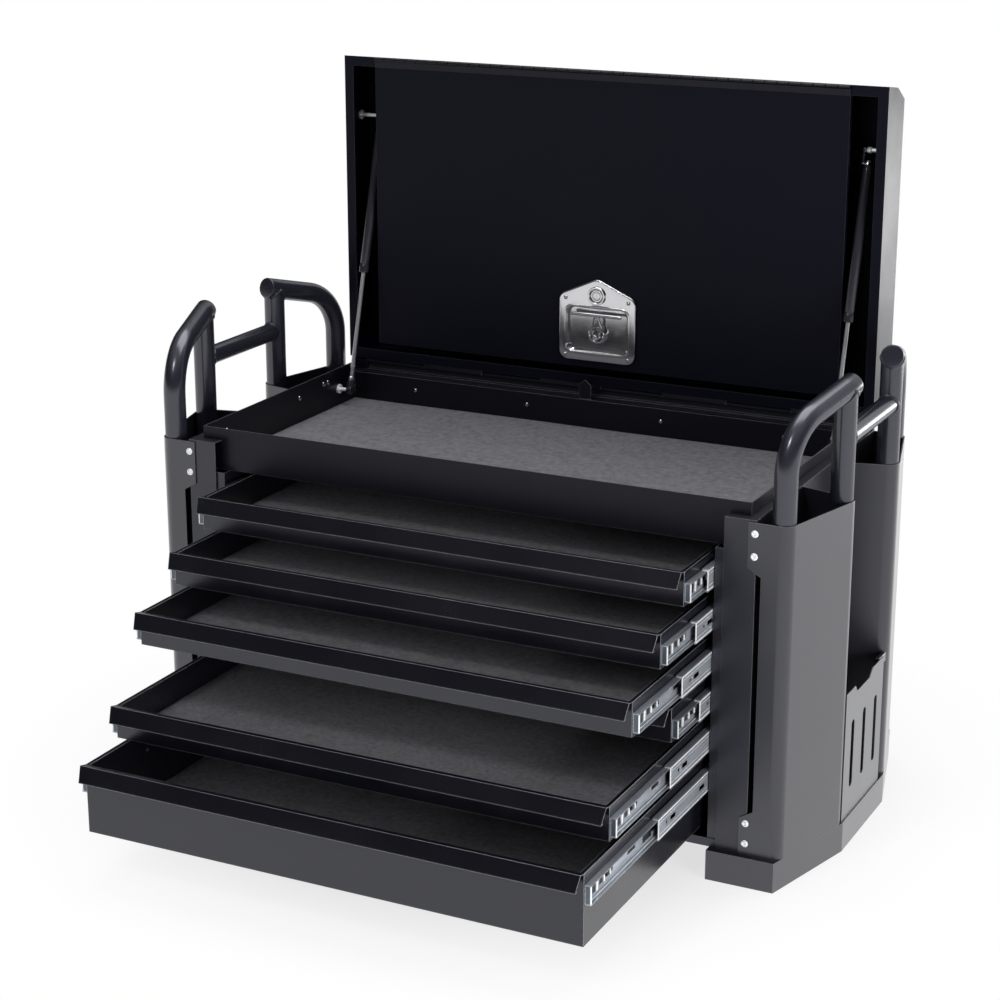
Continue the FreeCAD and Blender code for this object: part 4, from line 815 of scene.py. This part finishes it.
def strut_parts(side):
    """The rod and its ball socket, and the tube with its collar, crimps and top fitting."""
    foot = np.array([side * STRUT_HALF, *STRUT_LOW])

    def on_strut(rows, segments, axis=STRUT_WAY):
        """Rows (distance from the lower ball, radius) in mm, turned about the strut."""
        return turned(np.array(rows) * MM, foot, axis, segments)

    socket = [
        on_strut([(4, 0), (4, 6.4), (15, 6.4), (18, 5.4), (18, 0)], 24),
        on_strut([(-5, 0), (-5, 6.0), (-4, 7.2), (-2, 7.6), (2, 7.6), (4, 7.2), (5, 6.0), (5, 0)],
                 32, X),
    ]
    rod = [
        on_strut([(8, 3.25), (298, 3.25)], 24),
        on_strut([(17, 3.3), (17, 4.4), (22, 4.4), (23, 3.3)], 24),
    ]
    # The tube's closed end, 22 mm short of the upper ball
    end = STRUT_SPAN / MM - 22
    tube = on_strut([
        (200, 3.4), (200, 6.4), (201, 7.6), (203, 8.0), (205.5, 7.7), (207, 8.0), (212, 8.0),
        (214, 7.2), (215, 6.8), (217, 7.5), (end - 10, 7.5), (end - 6, 7.2), (end - 3, 6.0),
        (end, 4.6), (end, 0),
    ], 32)
    tongue = rounded_outline(
        rectangle(6 * MM, (end - 3) * MM, STRUT_SPAN + 6 * MM), 5 * MM, 7
    )
    outline = tongue[:, :1] * np.cross(X, STRUT_WAY) + tongue[:, 1:] * STRUT_WAY
    faces_at = [side * (STRUT_HALF - inset * MM) for inset in (5.3, 9.3)]
    flat = np.array([np.array([x, *STRUT_LOW]) + outline for x in faces_at])
    neck = on_strut([
        (end - 4, 0), (end - 4, 5.2), (end + 3, 5.6), (end + 6, 4.0), (end + 6, 0),
    ], 20)
    return rod, socket, [tube], [shell(flat), neck]


for side, word in ((1, "right"), (-1, "left")):
    rod, socket, tube, fitting = strut_parts(side)
    made = piece("rod_" + word, rod, "rod_" + word, FINISHES["strut_rod"])
    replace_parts(made, "strut_rod_" + word)
    piece("rod_socket_" + word, socket, "rod_" + word, FINISHES["strut_tube"])
    made = piece("tube_" + word, tube, "cylinder_" + word, FINISHES["strut_tube"])
    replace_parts(made, "strut_cylinder_" + word)
    piece("tube_fitting_" + word, fitting, "cylinder_" + word, FINISHES["chrome"])


# Piano hinge along the lid's front edge: every second knuckle on the lid, the others on the flap
def piano_knuckles(first):
    """Every second knuckle. Number k starts at -half + 2 half k / 42, less a hair at each end."""
    made = []
    count = 42
    pitch = 2 * FLAP_HALF / count
    for k in range(first, count, 2):
        start = -FLAP_HALF + pitch * k + 0.3 * MM
        stop = start + pitch - 0.6 * MM
        rows = [(start, 0), (start, 2.6 * MM), (start + 0.5 * MM, 3 * MM),
                (stop - 0.5 * MM, 3 * MM), (stop, 2.6 * MM), (stop, 0)]
        made.append(turned(rows, (0, *FLAP_AXIS), X, 14))
    return made


lid_wing = block(
    (-FLAP_HALF, 238.9 * MM, 1081.9 * MM), (FLAP_HALF, 242.2 * MM, 1083.1 * MM), 0.3 * MM
)
flap_wing = block(
    (-FLAP_HALF, 239.3 * MM, 1067 * MM), (FLAP_HALF, 240.5 * MM, 1079 * MM), 0.4 * MM
)
made = piece("hinge_lid_side", [*piano_knuckles(0), lid_wing], "lid", HINGE_STEEL)
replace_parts(made, "flap_hinge_lid_leaf")
made = piece("hinge_flap_side", [*piano_knuckles(1), flap_wing], "flap", HINGE_STEEL)
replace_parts(made, "flap_hinge_flap_leaf")

# Blocks that close the lid hinge's ends: a round about the hinge axis, on a foot on the casing
t = np.radians(np.linspace(-20, 200, 23))
knuckle_round = LID_AXIS + 7.2 * MM * np.stack([np.cos(t), np.sin(t)], 1)
foot = np.array([(251.5, 549.4), (261.2, 549.4)]) * MM
section = np.vstack([knuckle_round, foot])
hinge_end = shell(np.array([np.insert(section, 0, x * MM, axis=1) for x in (440.3, 464.8)]))
piece("lid_hinge_ends", both_ways([hinge_end]), "chest", FINISHES["lid_paint"], 30)

# Screws on the guards, domed nuts on the tray, and small rivets
zinc = FINISHES["zinc"]
guard_screws = [
    screw_head((463.2 * MM, GUARD_FRONT - 0.1 * MM, z * MM), -Y, 5.4 * MM, 2.2 * MM, 0.22)
    for z in (530.5, 497.5, 95.5, 64)
]
# The guard screw heads are in the zinc painted as a highlight
piece("guard_screws", both_ways(both_ways(guard_screws), 1), "chest", HIGHLIGHT_ZINC, 30)

tray_screws = [
    screw_head((TRAY_HALF - 1.3 * MM, y * MM, z * MM), -X, 4.2 * MM, 2.4 * MM)
    for y, z in ((118, 551), (132, 551), (-180, 545), (40, 545))
]
tray_screws += [
    screw_head((x * MM, TRAY_BACK, 530 * MM), -Y, 3.2 * MM, 1.4 * MM) for x in (330, 120)
]
piece("tray_screws", both_ways(tray_screws), "chest", chrome, 30)


# Slides: folded front ends, stampings in the webs with their turned-out edges, and ball cages.
# A row of a stamping is its front and rear from the member's front end, then its low and high
# from the member's middle, in mm.
STAMPINGS = (
    (10, 31, -8, 9), (44, 54.5, -5, 5), (68, 75.5, -4, 4),
    (188, 217, -8, 5), (232, 243, -8, 9), (372, 383, -8, 9),
)
STAMPING_LIPS = (
    (31, 35, -8, 9), (54.5, 57.5, -5, 4.5), (75.5, 77.5, -3.5, 4),
    (243, 247.5, -8.5, 9), (383, 387, -8, 9),
)
MIDDLE_HOLES = ((26, 31, -1.5, 3.5), (42, 60, -3, 4), (150, 168, -3, 4), (262, 280, -3, 4))
MIDDLE_EDGES = ((13.2, 15.0), (-15.0, -13.2), (8.6, 9.2), (-8.4, -7.8))
BALL_ROWS = np.array([(-0.9, 0), (-0.7, 0.6), (0, 0.9), (0.7, 0.6), (0.9, 0)]) * MM


def slide_details(number):
    """The shells of one drawer's right slide, by what they become.

    On the drawer member: folded end tab in painted shade, edges with a painted highlight, stampings
    in painted shade. On the middle member: cage with its balls, edges with a painted highlight,
    stampings in painted shade.
    """
    top, pull, _ = DRAWERS[number]
    centre = top - SLIDE_DROP
    start = CLOSED_FRONT + SLIDE_SET_BACK - pull
    middle_start = CLOSED_FRONT + SLIDE_SET_BACK - pull / 2
    web, tip, full = 392.45, 400.5, (3, 449)

    def bar(x, y, z, ease=0.25, origin=start):
        """A bar in mm: X, Y from the member's front end, and Z from its middle, two values each."""
        low = np.array([x[0] * MM, origin + y[0] * MM, centre + z[0] * MM])
        high = np.array([x[1] * MM, origin + y[1] * MM, centre + z[1] * MM])
        return block(low, high, ease * MM)

    def middle_bar(x, y, z):
        return bar(x, y, z, 0.1, middle_start)

    # Painted shade: the folded end tab in a darker copy of the zinc
    tabs = [bar((391.4, 399.4), (0.6, 1.8), (-13.0, 12.0))]
    # Painted highlight: near-white bars along the member's edges and the stampings' lips
    highlit = [
        bar((399.0, tip), (0.3, 2.4), (-13.9, 13.9)),
        bar((web, tip), (0.2, 1.6), (12.6, 14.0)),
        bar((web, tip), (0.2, 1.6), (-14.0, -12.6)),
    ]
    # Painted shade: thin dark sheets over the stampings
    shaded = [bar((web - 0.1, web + 0.25), row[:2], row[2:], 0.1) for row in STAMPINGS]
    highlit += [bar((web - 0.1, web + 2.0), row[:2], row[2:], 0.4) for row in STAMPING_LIPS]
    highlit += [
        bar((web - 0.1, web + 1.2), (8, 31), (9, 10.2), 0.3),
        bar((399.2, 400.55), full, (12.9, 14.1), 0.4),
        bar((399.2, 400.55), full, (-14.1, -12.9), 0.4),
        bar((394.6, 395.6), full, (-12.9, -12.4), 0.2),
    ]
    cage = [bar((391.6, 392.7), (2, 430), (-13.5, -11.9), 0.2, middle_start)]
    for dz in (-13.2, 13.2):
        for k in range(3):
            spot = (401.0 * MM, middle_start + (5 + 11 * k) * MM, centre + dz * MM)
            cage.append(turned(BALL_ROWS, spot, Y, 10))
    rims = [middle_bar((401.9, 402.25), (0, 450), z) for z in MIDDLE_EDGES]
    rims += [
        middle_bar((400.9, 402.3), (-0.3, 1.4), (-15.0, 15.0)),
        middle_bar((393.2, 402.1), (-0.4, 0.6), (13.6, 15.0)),
        middle_bar((393.2, 402.1), (-0.4, 0.6), (-15.0, -13.6)),
    ]
    # Painted shade: thin dark sheets in the middle member's holes
    hole_shade = [middle_bar((401.9, 402.2), row[:2], row[2:]) for row in MIDDLE_HOLES]
    return tabs, highlit, shaded, cage, rims, hole_shade


for number in DRAWERS:
    tabs, highlit, shaded, cage, rims, hole_shade = map(both_ways, slide_details(number))
    for name, shells, body, paint, sharp in (
        ("slide_middle_edges", rims, "middle_body", HIGHLIGHT_ZINC, 30),
        ("slide_middle_stampings", hole_shade, "middle_body", STAMPING_SHADE, 30),
        ("slide_end_tabs", tabs, "drawer_body", SHADED_TAB_ZINC, 30),
        ("slide_edges", highlit, "drawer_body", HIGHLIGHT_ZINC, 30),
        ("slide_stampings", shaded, "drawer_body", STAMPING_SHADE, 30),
        ("slide_cage", cage, "middle_body", zinc, 40),
    ):
        piece(f"{name}_{number}", shells, f"{body}_{number}", paint, sharp)

# Small brackets beside the pocket plates, and rivets on the backs and sides of the drawers
bracket = [block((545 * MM, 60 * MM, 236 * MM), (551.8 * MM, 92 * MM, 250 * MM), 1.2 * MM)]
piece("bin_brackets", both_ways(bracket), "chest", FINISHES["guard_paint"])

for number, (top, pull, height) in DRAWERS.items():
    front = CLOSED_FRONT - pull
    rear_place = (front + DRAWER_BACK_OFF - 1.3 * MM, top - 0.45 * height)
    spots = [screw_head((x * MM, *rear_place), -Y, 3.6 * MM, 1.6 * MM) for x in (-366, 366)]
    if number == DEEP_DRAWER:
        spots += both_ways([
            screw_head((-389.7 * MM, front + y * MM, top - 36 * MM), X, size * MM, 1.6 * MM)
            for y, size in ((150, 4.4), (172, 3.0))
        ])
    piece(f"drawer_rivets_{number}", spots, f"drawer_body_{number}", chrome, 30)


# Floor, light and camera
FLOOR_REACH = 40.0
WASH_FROM, WASH_TO = 0.45, 0.9


def studio_floor():
    """A pale floor: lit and shadowed as it is, and washed to white further from the chest.

    The white shows to the camera by that wash, in gloss by 0.95, and in full through a pane.
    """
    paint = Finish("pale floor")
    far = paint.node("ShaderNodeVectorMath", {"operation": "LENGTH"}, {0: paint.place}, 1)
    camera_ray = paint.node("ShaderNodeLightPath", {}, {}, "Is Camera Ray")
    glossy_ray = paint.node("ShaderNodeLightPath", {}, {}, "Is Glossy Ray")
    through_ray = paint.node("ShaderNodeLightPath", {}, {}, "Is Transmission Ray")
    wash = paint.remapped(far, WASH_FROM, WASH_TO, 0.7, 1.0)
    lit = paint.node("ShaderNodeBsdfDiffuse", {}, {"Color": (0.86, 0.86, 0.865, 1)})
    glow = paint.node("ShaderNodeEmission", {}, {"Color": (1, 1, 1, 1), "Strength": 1.0})
    share = camera_ray * wash + glossy_ray * 0.95 + through_ray
    mixed = paint.node("ShaderNodeMixShader", {}, {0: share, 1: lit, 2: glow})
    paint.tree.links.new(mixed.socket, paint.out.inputs["Surface"])
    return paint.material


sheet = bpy.data.meshes.new("studio_floor")
floor_corners = np.insert(rectangle(FLOOR_REACH, -FLOOR_REACH, FLOOR_REACH), 2, 0, axis=1)
sheet.from_pydata(floor_corners.tolist(), [], [range(4)])
sheet.materials.append(studio_floor())
ground = bpy.data.objects.new("studio_floor", sheet)
bpy.context.scene.collection.objects.link(ground)


def softbox(name, place, aim, width, height, watts, mirrored):
    """A rectangular lamp that faces a point, and shows in gloss or not."""
    lamp = bpy.data.lights.new(name, "AREA")
    lamp.shape = "RECTANGLE"
    lamp.size, lamp.size_y, lamp.energy = width, height, watts
    made = bpy.data.objects.new(name, lamp)
    made.location = place
    made.rotation_euler = (Vector(aim) - Vector(place)).to_track_quat("-Z", "Y").to_euler()
    made.visible_camera = False
    made.visible_glossy = mirrored
    bpy.context.scene.collection.objects.link(made)


# Name, place, the point it faces, width, height, watts, and whether it shows in gloss
for lamp_row in (
    ("overhead softbox", (0.0, 0.5, 3.4), (0, 0, 0.4), 3.0, 2.2, 70, True),
    ("right rear softbox", (1.9, 3.0, 0.36), (0.4, 0.0, 0.2), 2.4, 0.7, 38, True),
    ("front softbox", (-0.5, -3.4, 2.3), (0, 0, 0.3), 2.6, 2.0, 36, False),
    ("right front softbox", (3.2, -1.6, 0.6), (0.4, -0.3, 0.35), 1.8, 1.0, 110, False),
    ("front strip", (-0.4, -2.6, 3.1), (0.3, 0, 0.5), 0.5, 0.5, 22, True),
):
    softbox(*lamp_row)

# The world: faint all round, brighter overhead and behind the chest, and white to the camera
FILL, OVERHEAD_GLOW, REAR_GLOW = 0.03, 0.5, 0.8
world = bpy.data.worlds.new("studio")
bpy.context.scene.world = world
sky = Finish(world, "ShaderNodeOutputWorld", "Generated")


def facing(direction):
    """How far a direction of the sky points one way: its dot product with that unit vector."""
    dot = {"operation": "DOT_PRODUCT"}
    return sky.node("ShaderNodeVectorMath", dot, {0: sky.place, 1: direction}, "Value")


overhead = sky.remapped(facing((0, 0, 1)), 0.4, 0.9)
behind = sky.remapped(facing((0.42, 0.88, 0.22)), 0.6, 0.97)
strength = FILL + overhead * OVERHEAD_GLOW + behind * REAR_GLOW
dome = sky.node(
    "ShaderNodeBackground", {}, {"Color": (0.97, 0.98, 1.0, 1), "Strength": strength}
)
backdrop = sky.node("ShaderNodeBackground", {}, {"Color": (1, 1, 1, 1), "Strength": 1.0})
seen = sky.node("ShaderNodeLightPath", {}, {}, "Is Camera Ray")
around = sky.node("ShaderNodeMixShader", {}, {0: seen, 1: dome, 2: backdrop})
sky.tree.links.new(around.socket, sky.out.inputs["Surface"])

camera = bpy.data.cameras.new("photo viewpoint")
camera.lens = VIEW_LENS
camera.sensor_width = 36.0
camera.clip_end = 200.0
viewer = bpy.data.objects.new("photo viewpoint", camera)
viewer.location = VIEW_PLACE
viewer.rotation_euler = (VIEW_PITCH, 0, VIEW_YAW)
bpy.context.scene.collection.objects.link(viewer)
bpy.context.scene.camera = viewer
bpy.context.scene.view_settings.view_transform = "Standard"
